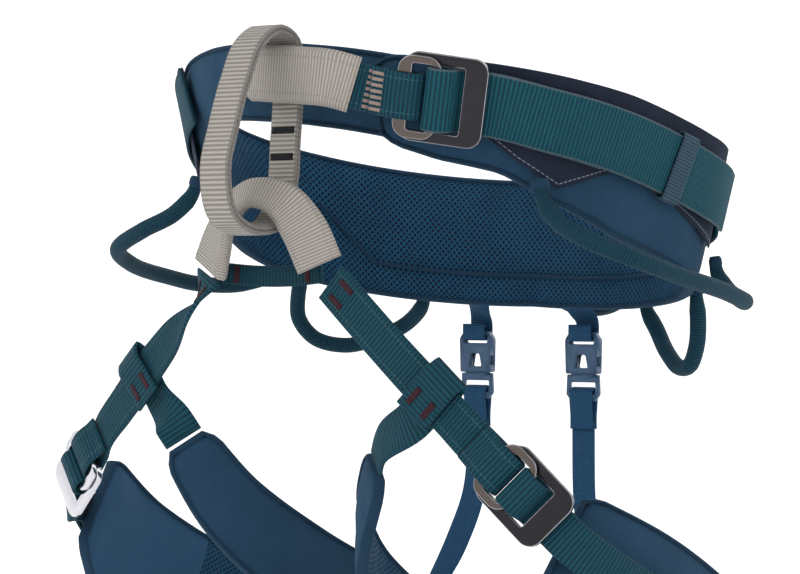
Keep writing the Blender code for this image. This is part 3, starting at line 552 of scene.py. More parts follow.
def through(rows, step, closed=False):
    """Rows of numbers on a smooth curve through the given rows. The first three are a place in metres."""
    rows = np.array(rows, dtype=float)
    if closed:
        ends = np.vstack([rows[-1:], rows, rows[:2]])
    else:
        ends = np.vstack([2 * rows[:1] - rows[1:2], rows, 2 * rows[-1:] - rows[-2:-1]])
    made = []
    for i in range(len(ends) - 3):
        a, b, c, d = ends[i:i + 4]
        before, here, after = (np.linalg.norm(q[:3] - p[:3]) for p, q in ((a, b), (b, c), (c, d)))
        leave = here * ((b - a) / before - (c - a) / (before + here) + (c - b) / here)
        arrive = here * ((c - b) / here - (d - b) / (here + after) + (d - c) / after)
        count = max(1, round(here / step))
        for k in range(count):
            t = k / count
            made.append((2 * t ** 3 - 3 * t ** 2 + 1) * b + (t ** 3 - 2 * t ** 2 + t) * leave
                        + (3 * t ** 2 - 2 * t ** 3) * c + (t ** 3 - t ** 2) * arrive)
    if not closed:
        made.append(rows[-1])
    return made


def stations(rows, step, closed=False):
    """(place, face, side, width) along a strip whose rows are x, y, z, the way it faces, and its width."""
    line = through(rows, step, closed)
    made = []
    for i, row in enumerate(line):
        place = Vector(row[:3])
        if closed:
            ahead = Vector(line[(i + 1) % len(line)][:3])
            behind = Vector(line[i - 1][:3])
        else:
            ahead = Vector(line[min(i + 1, len(line) - 1)][:3])
            behind = Vector(line[max(i - 1, 0)][:3])
        along = (ahead - behind).normalized()
        face = Vector(row[3:6])
        face = (face - along * face.dot(along)).normalized()
        made.append((place, face, along.cross(face), row[6]))
    return made


def facing_out(points):
    """Rows for a flat loop: each point with the direction that the curve faces there, on its left side."""
    rows = []
    for i, point in enumerate(points):
        ahead = points[min(i + 1, len(points) - 1)]
        behind = points[max(i - 1, 0)]
        rows.append((point, (ahead[0] - behind[0], ahead[1] - behind[1])))
    return [(*point, -dz, dx) for point, (dx, dz) in rows]


def overlap_lift(phi):
    share = min(max((LIFT_GONE_AT - phi) / (LIFT_GONE_AT - LIFT_FULL_UNTIL), 0), 1)
    return OVERLAP_LIFT * share * share * (3 - 2 * share)


def belt_normal(phi):
    angle = math.radians(phi)
    depth = WAIST_FRONT if math.cos(angle) > 0 else WAIST_BACK
    return Vector((math.sin(angle) / WAIST_SIDE, -math.cos(angle) / depth, 0)).normalized()


def belt_point(phi, height, out):
    """By degrees round the waist, height over the belt's line, and distance outside the lining's face."""
    angle = math.radians(phi)
    depth = WAIST_FRONT if math.cos(angle) > 0 else WAIST_BACK
    place = Vector((WAIST_SIDE * math.sin(angle), -depth * math.cos(angle), 0))
    line = -WAIST_SLOPE * place.y - WAIST_ROLL * place.x
    place += belt_normal(phi) * (out + overlap_lift(phi) + WALL_LEAN * height)
    place.z = line + height
    return place


def on_belt(phi, height, out):
    """The same point as a row for webbing, facing away from the belt's wall."""
    ahead = belt_point(phi + 1, height, out) - belt_point(phi - 1, height, out)
    up = belt_point(phi, height + MM, out) - belt_point(phi, height - MM, out)
    return (*belt_point(phi, height, out), *ahead.cross(up).normalized())


def belt_edges(phi):
    angles, upper, lower = zip(*BELT_EDGES)
    return np.interp(phi, angles, upper) * MM, np.interp(phi, angles, lower) * MM


PATCH_EDGE = [(34, -18), (42, -30), (50, -38), (56, -30), (62, -22), (72, -22), (80, -24), (92, -28),
              (104, -30)]


def patch_edges(phi):
    """The reinforced hip: it reaches from just under the belt's upper edge down to a scalloped seam."""
    angles, seam = zip(*PATCH_EDGE)
    side = phi if phi < 180 else 360 - phi
    upper, lower = belt_edges(phi)
    return upper - 1 * MM, max(np.interp(side, angles, seam) * MM, lower + 2 * MM)


def local_frame(origin, along, out):
    """A matrix from buckle terms (along, across, out) to the harness."""
    along = along.normalized()
    out = (out - along * out.dot(along)).normalized()
    return Matrix.Translation(origin) @ Matrix((along, out.cross(along), out)).transposed().to_4x4()


def round_box(half, deep, radius, corner):
    """Points of a rectangle with round corners, each with the way it faces."""
    points = []
    for turn, (across, out) in enumerate(((half - radius, deep - radius), (radius - half, deep - radius),
                                          (radius - half, radius - deep), (half - radius, radius - deep))):
        for k in range(corner + 1):
            angle = math.pi / 2 * (turn + k / corner)
            points.append((across + radius * math.cos(angle), out + radius * math.sin(angle),
                           math.cos(angle), math.sin(angle)))
    return points


PLATE_CORNER = 10  # steps round each corner of a buckle's plates


def rounded(low_x, high_x, half_y, radius):
    """A rectangle with round corners, in mm."""
    box = round_box((high_x - low_x) / 2, half_y, radius, PLATE_CORNER)
    return [(x + (low_x + high_x) / 2, y) for x, y, _, _ in box]


def buckle_rows(frame, points, facing=1):
    """Webbing rows from (along, out) points in a buckle's own terms."""
    rows = []
    for along, out, face_along, face_out in facing_out(points):
        place = frame @ Vector((along * MM, 0, out * MM))
        face = frame.to_3x3() @ Vector((face_along, 0, face_out)).normalized() * facing
        rows.append((*place, *face))
    return rows


def flipped(rows):
    return [(x, y, z, -a, -b, -c) for x, y, z, a, b, c in rows]


def in_mm(rows):
    return [(x * MM, y * MM, z * MM, *face) for x, y, z, *face in rows]


def waist_buckle_frame():
    seat = belt_point(29, TAIL_HEIGHT, BUCKLE_OUT)
    ahead = belt_point(33, TAIL_HEIGHT, BUCKLE_OUT) - belt_point(25, TAIL_HEIGHT, BUCKLE_OUT)
    out = belt_normal(29) - Vector((0, 0, WALL_LEAN))
    middle = (FIXED_BAR[0] + WIDE_BAR[1]) / 2 * MM
    frame = local_frame(seat, ahead, out)
    return frame @ Matrix.Translation((-middle, 0, 0))


LOOPS = {
    "gear_loop_front_left": FRONT_GEAR,
    "gear_loop_front_right": [(360 - phi, height, out) for phi, height, out in FRONT_GEAR],
    "gear_loop_rear_left": LEFT_REAR_GEAR,
    "gear_loop_rear_right": RIGHT_REAR_GEAR,
    "haul_loop": HAUL_LOOP,
}


BRIDGE = [(-34, -149.5, -53, 0, -1, 0), (-15, -148.5, -54.5, 0, -1, 0), (5, -148.5, -54.5, 0, -1, 0),
          (24, -149.5, -53, 0, -1, 0)]




def pad_line(leg, step=13 * MM):
    points, thigh = {"right": (RIGHT_PAD, RIGHT_THIGH), "left": (LEFT_PAD, LEFT_THIGH)}[leg]
    rows = []
    for x, y, z, width in points:
        place = Vector((x, y, z)) * MM
        away = place - thigh
        away -= THIGH_AXIS * away.dot(THIGH_AXIS)
        rows.append((*place, *away.normalized(), width * MM))
    return stations(rows, step)


def pad_place(line, share, across, out):
    """A row on a pad: share of its length, mm above its middle line, mm outside its lining."""
    at = share * (len(line) - 1)
    i = min(int(at), len(line) - 2)
    place, face, side = (line[i][k].lerp(line[i + 1][k], at - i) for k in range(3))
    up = side if side.dot(THIGH_AXIS) > 0 else -side
    return (*(place + up * across * MM + face * out * MM), *face)


def keeper_rows(cross, along, face, towards):
    """A strap that starts on the riser's face, folds round its far edge and leads behind it to the pad."""
    along = along.normalized()
    face = (face - along * face.dot(along)).normalized()
    near = along.cross(face)
    if near.dot(towards - cross) < 0:
        near = -near
    rows = []
    for share, out, face_near, face_out in ((13, 3.2, 0, 1), (2, 3.2, 0, 1), (-10, 3.2, -0.15, 1),
                                            (-14.5, 0, -1, 0), (-10, -3.2, -0.15, -1), (2, -3.2, 0, -1),
                                            (13, -2.8, 0, -1)):
        place = cross + (near * share + face * out) * MM
        rows.append((*place, *(near * face_near + face * face_out)))
    return rows


def buckle_frame_at(centre, along, out):
    frame = local_frame(Vector(centre) * MM, Vector(along), Vector(out))
    return frame @ Matrix.Translation((-(FIXED_BAR[0] + WIDE_BAR[1]) / 2 * MM, 0, 0))


KEEPER_PHI = 78
KEEPER_WIDTH = 12 * MM
KEEPER_THICK = 1.0 * MM


# ---- Mesh helpers

FLAT_SIDES = 61  # degrees; a piece with this keeps its large faces flat and its rounded edges smooth


def new_object(name, bm, materials, body, replaces=(), sharp=None):
    bmesh.ops.recalc_face_normals(bm, faces=bm.faces)
    mesh = bpy.data.meshes.new(name)
    bm.to_mesh(mesh)
    bm.free()
    for key in materials:
        mesh.materials.append(MATERIALS[key])
    if sharp != FLAT_SIDES:
        mesh.shade_smooth()
    if sharp:
        mesh.set_sharp_from_angle(angle=math.radians(sharp))
    made = bpy.data.objects.new(name, mesh)
    bpy.context.scene.collection.objects.link(made)
    if body:
        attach(made, body)
    if replaces:
        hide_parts(*replaces)
    return made


def skin(bm, rings, tags, closed_line=False, closed_ring=True, caps=True, material=0):
    """Faces between rings of points; tags gives each point (metres along, metres across)."""
    layer = bm.loops.layers.uv.get("Along") or bm.loops.layers.uv.new("Along")
    made = [[bm.verts.new(p) for p in ring] for ring in rings]
    count = len(made)
    around = len(made[0])
    for i in range(count if closed_line else count - 1):
        j = (i + 1) % count
        for k in range(around if closed_ring else around - 1):
            m = (k + 1) % around
            face = bm.faces.new((made[i][k], made[j][k], made[j][m], made[i][m]))
            face.material_index = material if isinstance(material, int) else material(i, k)
            last = tags[j] if j else [(tags[-1][0][0] + 4 * MM, v) for _, v in tags[0]]
            ahead = [tags[i][k], last[k], last[m], tags[i][m]]
            for loop, tag in zip(face.loops, ahead):
                loop[layer].uv = tag
    if caps and not closed_line and closed_ring:
        for index in (0, count - 1):
            face = bm.faces.new(made[index])
            for loop, tag in zip(face.loops, tags[index]):
                loop[layer].uv = tag
    return made


def distances(line):
    total = [0.0]
    for a, b in zip(line, line[1:]):
        total.append(total[-1] + (b[0] - a[0]).length)
    return total


def band_section(half, thick, columns=8):
    """(across, out) points round a flat band with soft edges."""
    reach = half - thick * 0.35
    top = [(a, thick / 2) for a in np.linspace(reach, -reach, columns)]
    return [*top, (-half, 0), *((-a, -b) for a, b in top), (half, 0)]


def add_band(bm, line, thick, closed=False, out=0.0, taper=False):
    far = distances(line)
    rings = []
    tags = []
    for i, (place, face, side, width) in enumerate(line):
        size = 0.75 if taper and i in (0, len(line) - 1) else 1.0
        section = band_section(width / 2, thick * size)
        rings.append([place + side * a + face * (b + out) for a, b in section])
        tags.append([(far[i], a) for a, b in section])
    skin(bm, rings, tags, closed)


def band(name, line, thick, material, body, replaces=(), closed=False, taper=False):
    """A strap along stations, its section rounded at the edges."""
    bm = bmesh.new()
    add_band(bm, line, thick, closed, taper=taper)
    return new_object(name, bm, [material], body, replaces)


def rod(bm, points, radius, flat=1.0, material=0, closed=False, sides=10, up=None):
    """A round or flattened cord through points."""
    points = [Vector(p) for p in points]
    last = len(points) - 1
    rings = []
    tags = []
    side = Vector((0, 0, 1))
    total = 0.0
    for i, place in enumerate(points):
        ahead = points[(i + 1) % (last + 1)] if closed else points[min(i + 1, last)]
        behind = points[i - 1] if closed else points[max(i - 1, 0)]
        along = (ahead - behind).normalized()
        if up:
            side = up[i]
        side = (side - along * side.dot(along)).normalized()
        other = along.cross(side)
        size = radius(i, last) if callable(radius) else radius
        total += (place - points[i - 1]).length if i else 0
        turns = [math.tau * k / sides for k in range(sides)]
        rings.append([place + side * math.cos(t) * size * flat + other * math.sin(t) * size for t in turns])
        tags.append([(total, t * size) for t in turns])
    skin(bm, rings, tags, closed, material=material)


FINE = 2 * MM  # between a strap's stations


def strap_line(rows, width, step, closed=False):
    return stations([(*row, width) for row in rows], step, closed)


def line_at(line, distance):
    """The station that far along a line, in metres; counted from its end if negative."""
    far = distances(line)
    distance = distance if distance >= 0 else far[-1] + distance
    i = max(0, min(len(line) - 2, int(np.searchsorted(far, distance)) - 1))
    share = (distance - far[i]) / max(far[i + 1] - far[i], 1e-9)
    place, face, side = (line[i][k].lerp(line[i + 1][k], share) for k in range(3))
    return place, face.normalized(), side.normalized()


def distance_where(line, cost):
    """How far along a line the station with the lowest cost is."""
    best = min(range(len(line)), key=lambda i: cost(line[i][0]))
    return distances(line)[best]


TACK_THICK = 0.9 * MM


def tack(name, line, distance, across, size, out, material, body, crosswise=False):
    """A bar tack: a dense raised bar of thread along or across a strap. Size is length and width in mm."""
    length, width = (number * MM for number in size)
    place, face, side = line_at(line, distance)
    onward = (line_at(line, distance + 1 * MM)[0] - place).normalized()
    rows = []
    for share in np.linspace(-0.5, 0.5, 9):
        if crosswise:
            where = place + side * (length * share + across)
        else:
            where, _, side_there = line_at(line, distance + length * share)
            where = where + side_there * across
        rows.append((where + face * out, face, -onward if crosswise else side, width))
    return band(name, rows, TACK_THICK, material, body, taper=True)


# ---- Padded pieces


COLUMNS = 9  # points across each side of a pad
EDGE_THICK = 0.45  # a pad's thickness at its edges, as a share of that in its middle


def pad_rings(line, inner, outer):
    """Rings round a pad's section: its outside from edge to edge, then its inside, thinner at both edges."""
    rings = []
    tags = []
    total = 0.0
    for i, (low, up, out, half) in enumerate(line):
        total += (low - line[i - 1][0]).length if i else 0
        ring = []
        tag = []
        end = min(i, len(line) - 1 - i)
        close = (0.45, 0.8, 1.0)[min(end, 2)]
        for side in (1, -1):
            for share in np.linspace(1, -1, COLUMNS) * side:
                pinch = 1 - close * (1 - abs(share) ** 4)
                level = outer if side == 1 else inner
                middle = (outer + inner) / 2
                depth = middle + (level - middle) * (1 - pinch * (1 - EDGE_THICK))
                ring.append(low + up * (half * share) + out * depth)
                tag.append((total, half * share))
        rings.append(ring)
        tags.append(tag)
    return rings, tags


def swell(made, held, cap):
    """Inflate a pad as cloth, held at its seams and moved by no more than the cap."""
    mesh = made.data
    rest = np.zeros(len(mesh.vertices) * 3)
    mesh.vertices.foreach_get("co", rest)
    rest = rest.reshape(-1, 3)
    group = made.vertex_groups.new(name="held")
    group.add([int(k) for k in held], 1.0, "REPLACE")
    cloth = made.modifiers.new("swell", "CLOTH")
    cloth.settings.quality = 5
    cloth.settings.mass = 0.3
    cloth.settings.vertex_group_mass = "held"
    cloth.settings.use_pressure = True
    cloth.settings.uniform_pressure_force = 30.0
    cloth.settings.shrink_min = -0.015
    cloth.settings.effector_weights.gravity = 0
    cloth.settings.tension_stiffness = 6
    cloth.settings.compression_stiffness = 6
    cloth.settings.bending_stiffness = 0.1
    scene = bpy.context.scene
    for frame_number in range(1, 21):
        scene.frame_set(frame_number)
    seen = made.evaluated_get(bpy.context.evaluated_depsgraph_get())
    moved = np.zeros(len(mesh.vertices) * 3)
    seen.data.vertices.foreach_get("co", moved)
    shift = moved.reshape(-1, 3) - rest
    made.modifiers.remove(cloth)
    scene.frame_set(1)
    size = np.linalg.norm(shift, axis=1, keepdims=True)
    shift *= np.minimum(1, cap / np.maximum(size, 1e-9))
    mesh.vertices.foreach_set("co", (rest + shift).ravel())
    mesh.update()


def subdivided(made):
    """One smooth subdivision, written into the mesh."""
    finer = made.modifiers.new("finer", "SUBSURF")
    finer.levels = 1
    finer.render_levels = 1
    finer.boundary_smooth = "PRESERVE_CORNERS"
    seen = made.evaluated_get(bpy.context.evaluated_depsgraph_get())
    mesh = bpy.data.meshes.new_from_object(seen)
    made.modifiers.remove(finer)
    made.data = mesh
    mesh.name = made.name
    mesh.shade_smooth()


CORNER = (3.5 * MM, 1.0 * MM)  # how much a pad's end rows are shortened to round its corners


def round_cornered(line):
    made = []
    for i, (middle, up, out, half) in enumerate(line):
        end = min(i, len(line) - 1 - i)
        made.append((middle, up, out, half - (CORNER[end] if end < 2 else 0)))
    return made


def make_pad(name, line, full, slack, body, replaces, groove, panel=None):
    """A quilted pad with knit inside and cloth outside. The line's rows are middle, up, out and half width.
    Slack is how much thinner it starts inside and outside, and how far a point may move as it swells."""
    start_in, start_out, cap = slack
    line = round_cornered(line)
    rings, tags = pad_rings(line, start_in, full - start_out)
    bm = bmesh.new()

    def side_of(i, k):
        if k < COLUMNS - 1 or k == 2 * COLUMNS - 1:
            return 0
        return 2 if panel and panel(i / (len(rings) - 1)) else 1

    made_rings = skin(bm, rings, tags, material=side_of)
    bm.verts.index_update()
    held = []
    for i, ring in enumerate(made_rings):
        for k, vert in enumerate(ring):
            edge = k in (0, COLUMNS - 1, COLUMNS, 2 * COLUMNS - 1)
            if edge or i in (0, len(made_rings) - 1) or groove(i / (len(rings) - 1), k):
                held.append(vert.index)
    made = new_object(name, bm, ["denim", "mesh", "panel"], None)
    swell(made, held, cap)
    subdivided(made)
    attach(made, body)
    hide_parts(*replaces)
    return made


EDGING_IN = 0.8 * MM


def edging(name, line, full, body):
    """Binding sewn round a pad's whole edge."""
    middle = full / 2
    line = round_cornered(line)
    upper = [low + up * (half - EDGING_IN) + out * middle for low, up, out, half in line]
    lower = [low - up * (half - EDGING_IN) + out * middle for low, up, out, half in line]
    outs = [out for _, _, out, _ in line]
    path = upper + lower[::-1]
    normals = outs + outs[::-1]
    bm = bmesh.new()
    rod(bm, path, 1.3 * MM, flat=2.2, closed=True, up=normals, sides=12)
    return new_object(name, bm, ["binding"], body)


GROOVE_FROM = 120
GROOVE_TO = 240


def groove_row(phi):
    """How many of a pad's columns over its lower edge the lining's groove runs: level behind, then rising."""
    rise = 0 if 138 < phi < 222 else min(abs(phi - 138), abs(phi - 222)) / 6
    return min(2 + rise, 6)


def make_belt():
    line = []
    for phi in np.arange(BELT_EDGES[0][0], BELT_EDGES[-1][0] + 0.1, 2.0):
        upper, lower = belt_edges(phi)
        middle = belt_point(phi, (upper + lower) / 2, 0)
        up = belt_point(phi, upper, 0) - belt_point(phi, lower, 0)
        out = belt_point(phi, (upper + lower) / 2, SHELL_OUT) - middle
        line.append((middle, up.normalized(), out.normalized(), (upper - lower) / 2))

    def groove(share, k):
        phi = BELT_EDGES[0][0] + share * (BELT_EDGES[-1][0] - BELT_EDGES[0][0])
        return GROOVE_FROM - 2 < phi < GROOVE_TO + 2 and k == COLUMNS + int(groove_row(phi))

    make_pad("belt_pad", line, SHELL_OUT, (2.2 * MM, 2.4 * MM, 2.6 * MM), "waist_belt",
             ("belt_lining", "belt_foam", "belt_shell"), groove)
    edging("belt_edging", line, SHELL_OUT, "waist_belt")
    # A thin dark rod along the lining's groove, where the padding's thickness changes
    bm = bmesh.new()
    points = []
    for phi in np.arange(GROOVE_FROM, GROOVE_TO + 0.1, 2.0):
        upper, lower = belt_edges(phi)
        height = lower + (upper - lower) * groove_row(phi) / (COLUMNS - 1)
        points.append(belt_point(phi, height, 1.0 * MM))
    rod(bm, points, 1.0 * MM, flat=1.0)
    new_object("lining_groove_dark_line", bm, ["binding"], "waist_belt")
    for side, (start, end) in {"left": (34, 104), "right": (256, 310)}.items():
        make_patch(side, start, end)
    rows = [on_belt(phi, (-6 if phi < 260 else -6 + 9 * (phi - 260) / 60) * MM, UNDER_RUN_OUT)
            for phi in np.arange(114, 320.1, 3.0)]
    band("waist_webbing_run", strap_line(rows, TAIL_WIDTH, NO_EXTRA), WEBBING, "waist", "waist_belt",
         ("waist_webbing",))


def make_patch(side, start, end):
    """Thin reinforcing cloth on a hip, sewn along its scalloped edge."""
    rings = []
    tags = []
    total = 0.0
    widest = 0.0
    for phi in np.arange(start, end + 0.1, 1.0):
        upper, lower = patch_edges(phi)
        widest = max(widest, upper - lower)
        heights = np.linspace(lower, upper, 12)
        if rings:
            total += (belt_point(phi, 0, PATCH_OUT) - belt_point(phi - 1, 0, PATCH_OUT)).length
        out = [belt_point(phi, h, PATCH_OUT) for h in heights]
        under = [belt_point(phi, h, PATCH_OUT - 0.8 * MM) for h in heights[::-1]]
        rings.append(out + under)
        tags.append([(total, h - lower) for h in heights] + [(total, h - lower) for h in heights[::-1]])
    bm = bmesh.new()
    skin(bm, rings, tags)
    made = new_object(f"hip_cloth_{side}", bm, ["navy"], "waist_belt", (f"hip_patch_{side}",),
                      sharp=50)


# ---- Buckles


PLATE_BEVEL = 0.35 * MM


def round_edges(bm, edges, offset, **settings):
    """Round some edges and return the new faces, shaded smooth."""
    made = bmesh.ops.bevel(bm, geom=edges, offset=offset, segments=3, affect="EDGES", **settings)
    for face in made["faces"]:
        face.smooth = True
    return made["faces"]


def metal_plate(name, frame, outside, window, middle, thick, materials, body, replaces):
    """A flat metal ring between two outlines in mm, its edges rounded."""
    bm = bmesh.new()
    bm.loops.layers.uv.new("Along")
    low, high = ([[bm.verts.new((x * MM, y * MM, (middle + side * thick / 2) * MM)) for x, y in outline]
                  for outline in (outside, window)] for side in (-1, 1))
    for k in range(len(outside)):
        for level in (low, high):
            bm.faces.new((level[0][k - 1], level[0][k], level[1][k], level[1][k - 1]))
        for ring in (0, 1):
            bm.faces.new((low[ring][k - 1], low[ring][k], high[ring][k], high[ring][k - 1]))
    bmesh.ops.recalc_face_normals(bm, faces=bm.faces)
    rims = [e for e in bm.edges if e.calc_face_angle(0) > math.radians(60)]
    for face in round_edges(bm, rims, PLATE_BEVEL, profile=0.5):
        # Bevels facing outwards take the second material, a lighter metal that is a painted edge highlight
        if len(materials) > 1 and face.normal.z > 0.3:
            face.material_index = 1
    bmesh.ops.transform(bm, matrix=frame, verts=bm.verts)
    return new_object(name, bm, materials, body, replaces, FLAT_SIDES)


def make_buckle(prefix, frame, width, body, ring_body, finishes_and_edge_highlights, slots):
    half = width / MM / 2
    window = half + 0.8
    metal_plate(f"{prefix}_frame_plate", frame, rounded(FIXED_BAR[0], WIDE_BAR[1], half + 6, 7),
                rounded(FIXED_BAR[1], WIDE_BAR[0], window, 1.2), 0, FRAME_THICK,
                finishes_and_edge_highlights[0], body, (f"{prefix}_buckle_frame",))
    metal_plate(f"{prefix}_ring_plate", frame, rounded(FIXED_BAR[0] - 2, RING_BAR[1], half + 4.5, 7),
                rounded(FIXED_BAR[1], RING_BAR[0], window, 1.2), RING_LIFT, RING_THICK,
                finishes_and_edge_highlights[1], ring_body, (f"{prefix}_buckle_ring",))


# Each buckle's frame and ring: their materials, the second one a lighter metal on the outward bevels as a
# painted edge highlight, then the record's slots
BLACK_AND_BRONZE_WITH_EDGE_HIGHLIGHT = ((["black", "edge_highlight"], ["bronze", "edge_highlight"]), ("black_metal", "grey_metal"))
POLISHED = ((["silver"], ["silver"]), ("polished_metal", "polished_metal"))


# ---- Straps of the belt


def make_sleeve(which, line):
    """A woven tube round a tie-in strap, open at both ends and fuller at its hems."""
    wall_out = SLEEVE_THICK / 2
    wall_in = WEBBING / 2 + 0.3 * MM
    far = distances(line)
    bm = bmesh.new()
    outer = []
    inner = []
    tags = []
    for i, (place, face, side, width) in enumerate(line):
        end = min(far[i], far[-1] - far[i])
        hem = 1.0 if end > 4.5 * MM else 1.1 if end > 0.8 * MM else 0.93
        section = band_section(width / 2 + SLEEVE_CLEAR + (wall_out - wall_in), 2 * wall_out * hem, 10)
        outer.append([place + side * a + face * b for a, b in section])
        lining = band_section(width / 2 + SLEEVE_CLEAR, 2 * wall_in, 10)
        inner.append([place + side * a + face * b for a, b in lining])
        tags.append([(far[i], a) for a, b in section])
    out = skin(bm, outer, tags, caps=False)
    back = skin(bm, inner, tags, caps=False)
    for index in (0, -1):
        for k in range(len(out[0])):
            bm.faces.new((out[index][k - 1], out[index][k], back[index][k], back[index][k - 1]))
    new_object(f"{which}_sleeve_cloth", bm, ["sleeve"], "waist_belt", (f"tie_in_sleeve_{which}",))


def make_waist_straps():
    frame = waist_buckle_frame()
    make_buckle("waist", frame, TAIL_WIDTH, "waist_belt", "waist_ring", *BLACK_AND_BRONZE_WITH_EDGE_HIGHLIGHT)
    rows = [*buckle_rows(frame, ANCHOR_FOLD), *flipped(in_mm(TIE_IN))]
    line = strap_line(rows, STRAP_WIDTH, FINE)
    band("tie_in_strap_band", line, WEBBING, "tie_in", "waist_belt", ("tie_in_strap",))
    covered = [station for station in line if SLEEVE_FROM < station[0].x < SLEEVE_TO]
    make_sleeve("upper", covered)
    first = distance_where(line, lambda place: abs(place.x - 47 * MM))
    for group, (at, out) in enumerate(((first, -WEBBING / 2), (3.5 * MM, WEBBING / 2))):
        for across in np.linspace(-8.5, 8.5, 7):
            tack(f"tie_in_tack_{group}_{across:.0f}", line, at, across * MM, (6, 1.7), out, "beige_thread",
                 "waist_belt")
    under = [on_belt(phi, TAIL_HEIGHT, UNDER_RUN_OUT) for phi in (60, 54, 48)]
    over = [on_belt(phi, TAIL_HEIGHT, TAIL_OUT) for phi in range(48, 105, 7)]
    line = strap_line([*under, *buckle_rows(frame, THREADED, -1), *flipped(over)], TAIL_WIDTH, FINE)
    band("waist_tail_band", line, WEBBING, "tail", "waist_belt", ("waist_tail",))


def make_tail_keeper():
    low = PATCH_OUT + GAP + KEEPER_THICK / 2
    high = TAIL_OUT + WEBBING / 2 + STRAP_GAP + KEEPER_THICK / 2
    x, y, z, *face = on_belt(KEEPER_PHI, TAIL_HEIGHT, (low + high) / 2)
    middle = Vector((x, y, z))
    face = Vector(face)
    ahead = belt_point(KEEPER_PHI + 1, TAIL_HEIGHT, high) - belt_point(KEEPER_PHI - 1, TAIL_HEIGHT, high)
    up = face.cross(ahead.normalized())
    half = TAIL_WIDTH / 2 + 2 * STRAP_GAP + GAP
    deep = (high - low) / 2
    rows = [(*(middle + up * a + face * b), *(up * fa + face * fb))
            for a, b, fa, fb in round_box(half, deep, deep * 0.85, 5)]
    band("tail_keeper_band", strap_line(rows, KEEPER_WIDTH, NO_EXTRA, True), KEEPER_THICK, "tail_keeper",
         "waist_belt", ("tail_keeper",), closed=True)


# ---- Gear loops, tie-in and belay loop


def make_gear_loops():
    for name, route in LOOPS.items():
        points = [belt_point(phi, height * MM, out * MM) for phi, height, out in route]
        fine = [Vector(place) for place in through(points, 2 * MM)]
        bm = bmesh.new()

        def radius(i, last):
            near = min(i, last - i) * 2 * MM
            return GEAR_RADIUS * min(1.0, 0.6 + 0.4 * near / (14 * MM))

        rod(bm, fine, radius, sides=18)
        new_object(f"{name}_cord", bm, ["cord"], name, (name,))
        for end, place in (("start", fine[0]), ("end", fine[-1])):
            inner = fine[4] if end == "start" else fine[-5]
            along = (inner - place).normalized()
            phi = route[0][0] if end == "start" else route[-1][0]
            face = belt_normal(phi)
            face = (face - along * face.dot(along)).normalized()
            side = along.cross(face)
            rows = [(place + along * shift * MM, face, side, 9.5 * MM) for shift in (0.4, 1.5, 3, 4.5, 5.6)]
            band(f"{name}_{end}_tack", rows, 6.2 * MM, "thread" if name == "haul_loop" else "binding", name,
                 taper=True)


def make_tie_in():
    arch = stations([(x * MM, y * MM, z * MM, *face, width * MM) for x, y, z, *face, width in ARCH], FINE)
    make_sleeve("lower", arch)
    band("lower_tie_in_band", arch, WEBBING, "riser", "waist_belt", ("lower_tie_in_webbing",))
    line = strap_line(in_mm(BRIDGE), 10 * MM, FINE)
    band("bridge_band", line, WEBBING, "bridge", "waist_belt", ("bridge_strap",))
    for at in (8 * MM, -8 * MM):
        tack(f"bridge_tack_{at > 0:d}", line, at, 0, (8, 3), WEBBING / 2, "thread", "waist_belt", True)
    count = len(BELAY_LINE)
    rows = []
    for i, (y, z) in enumerate(BELAY_LINE):
        along = (Vector(BELAY_LINE[(i + 1) % count]) - Vector(BELAY_LINE[i - 1])).normalized()
        rows.append((0, y * MM, z * MM, 0, along.y, -along.x))
    line = strap_line(rows, BELAY_WIDTH, 3 * MM, True)
    ply = BELAY_THICK / 2 - 0.15 * MM
    bm = bmesh.new()
    for out in (-BELAY_THICK / 4, BELAY_THICK / 4):
        add_band(bm, line, ply, closed=True, out=out)
    new_object("belay_loop_plies", bm, ["belay"], "belay_loop", ("belay_loop",))
    open_line = line + line[:1]
    for height in (15, 3):
        at = distance_where(open_line, lambda place: abs(place.z - height * MM) + (place.y < -0.16))
        for face in (-1, 1):
            tack(f"safety_tack_{height}_{face > 0:d}", open_line, at, 0, (13, 3.4), face * BELAY_THICK / 2,
                 "black_thread", "belay_loop", True)


# ---- Leg loops

TACK_OUT = WEBBING / 2 + 0.1 * MM
KEEPER_PLY = 1.6 * MM


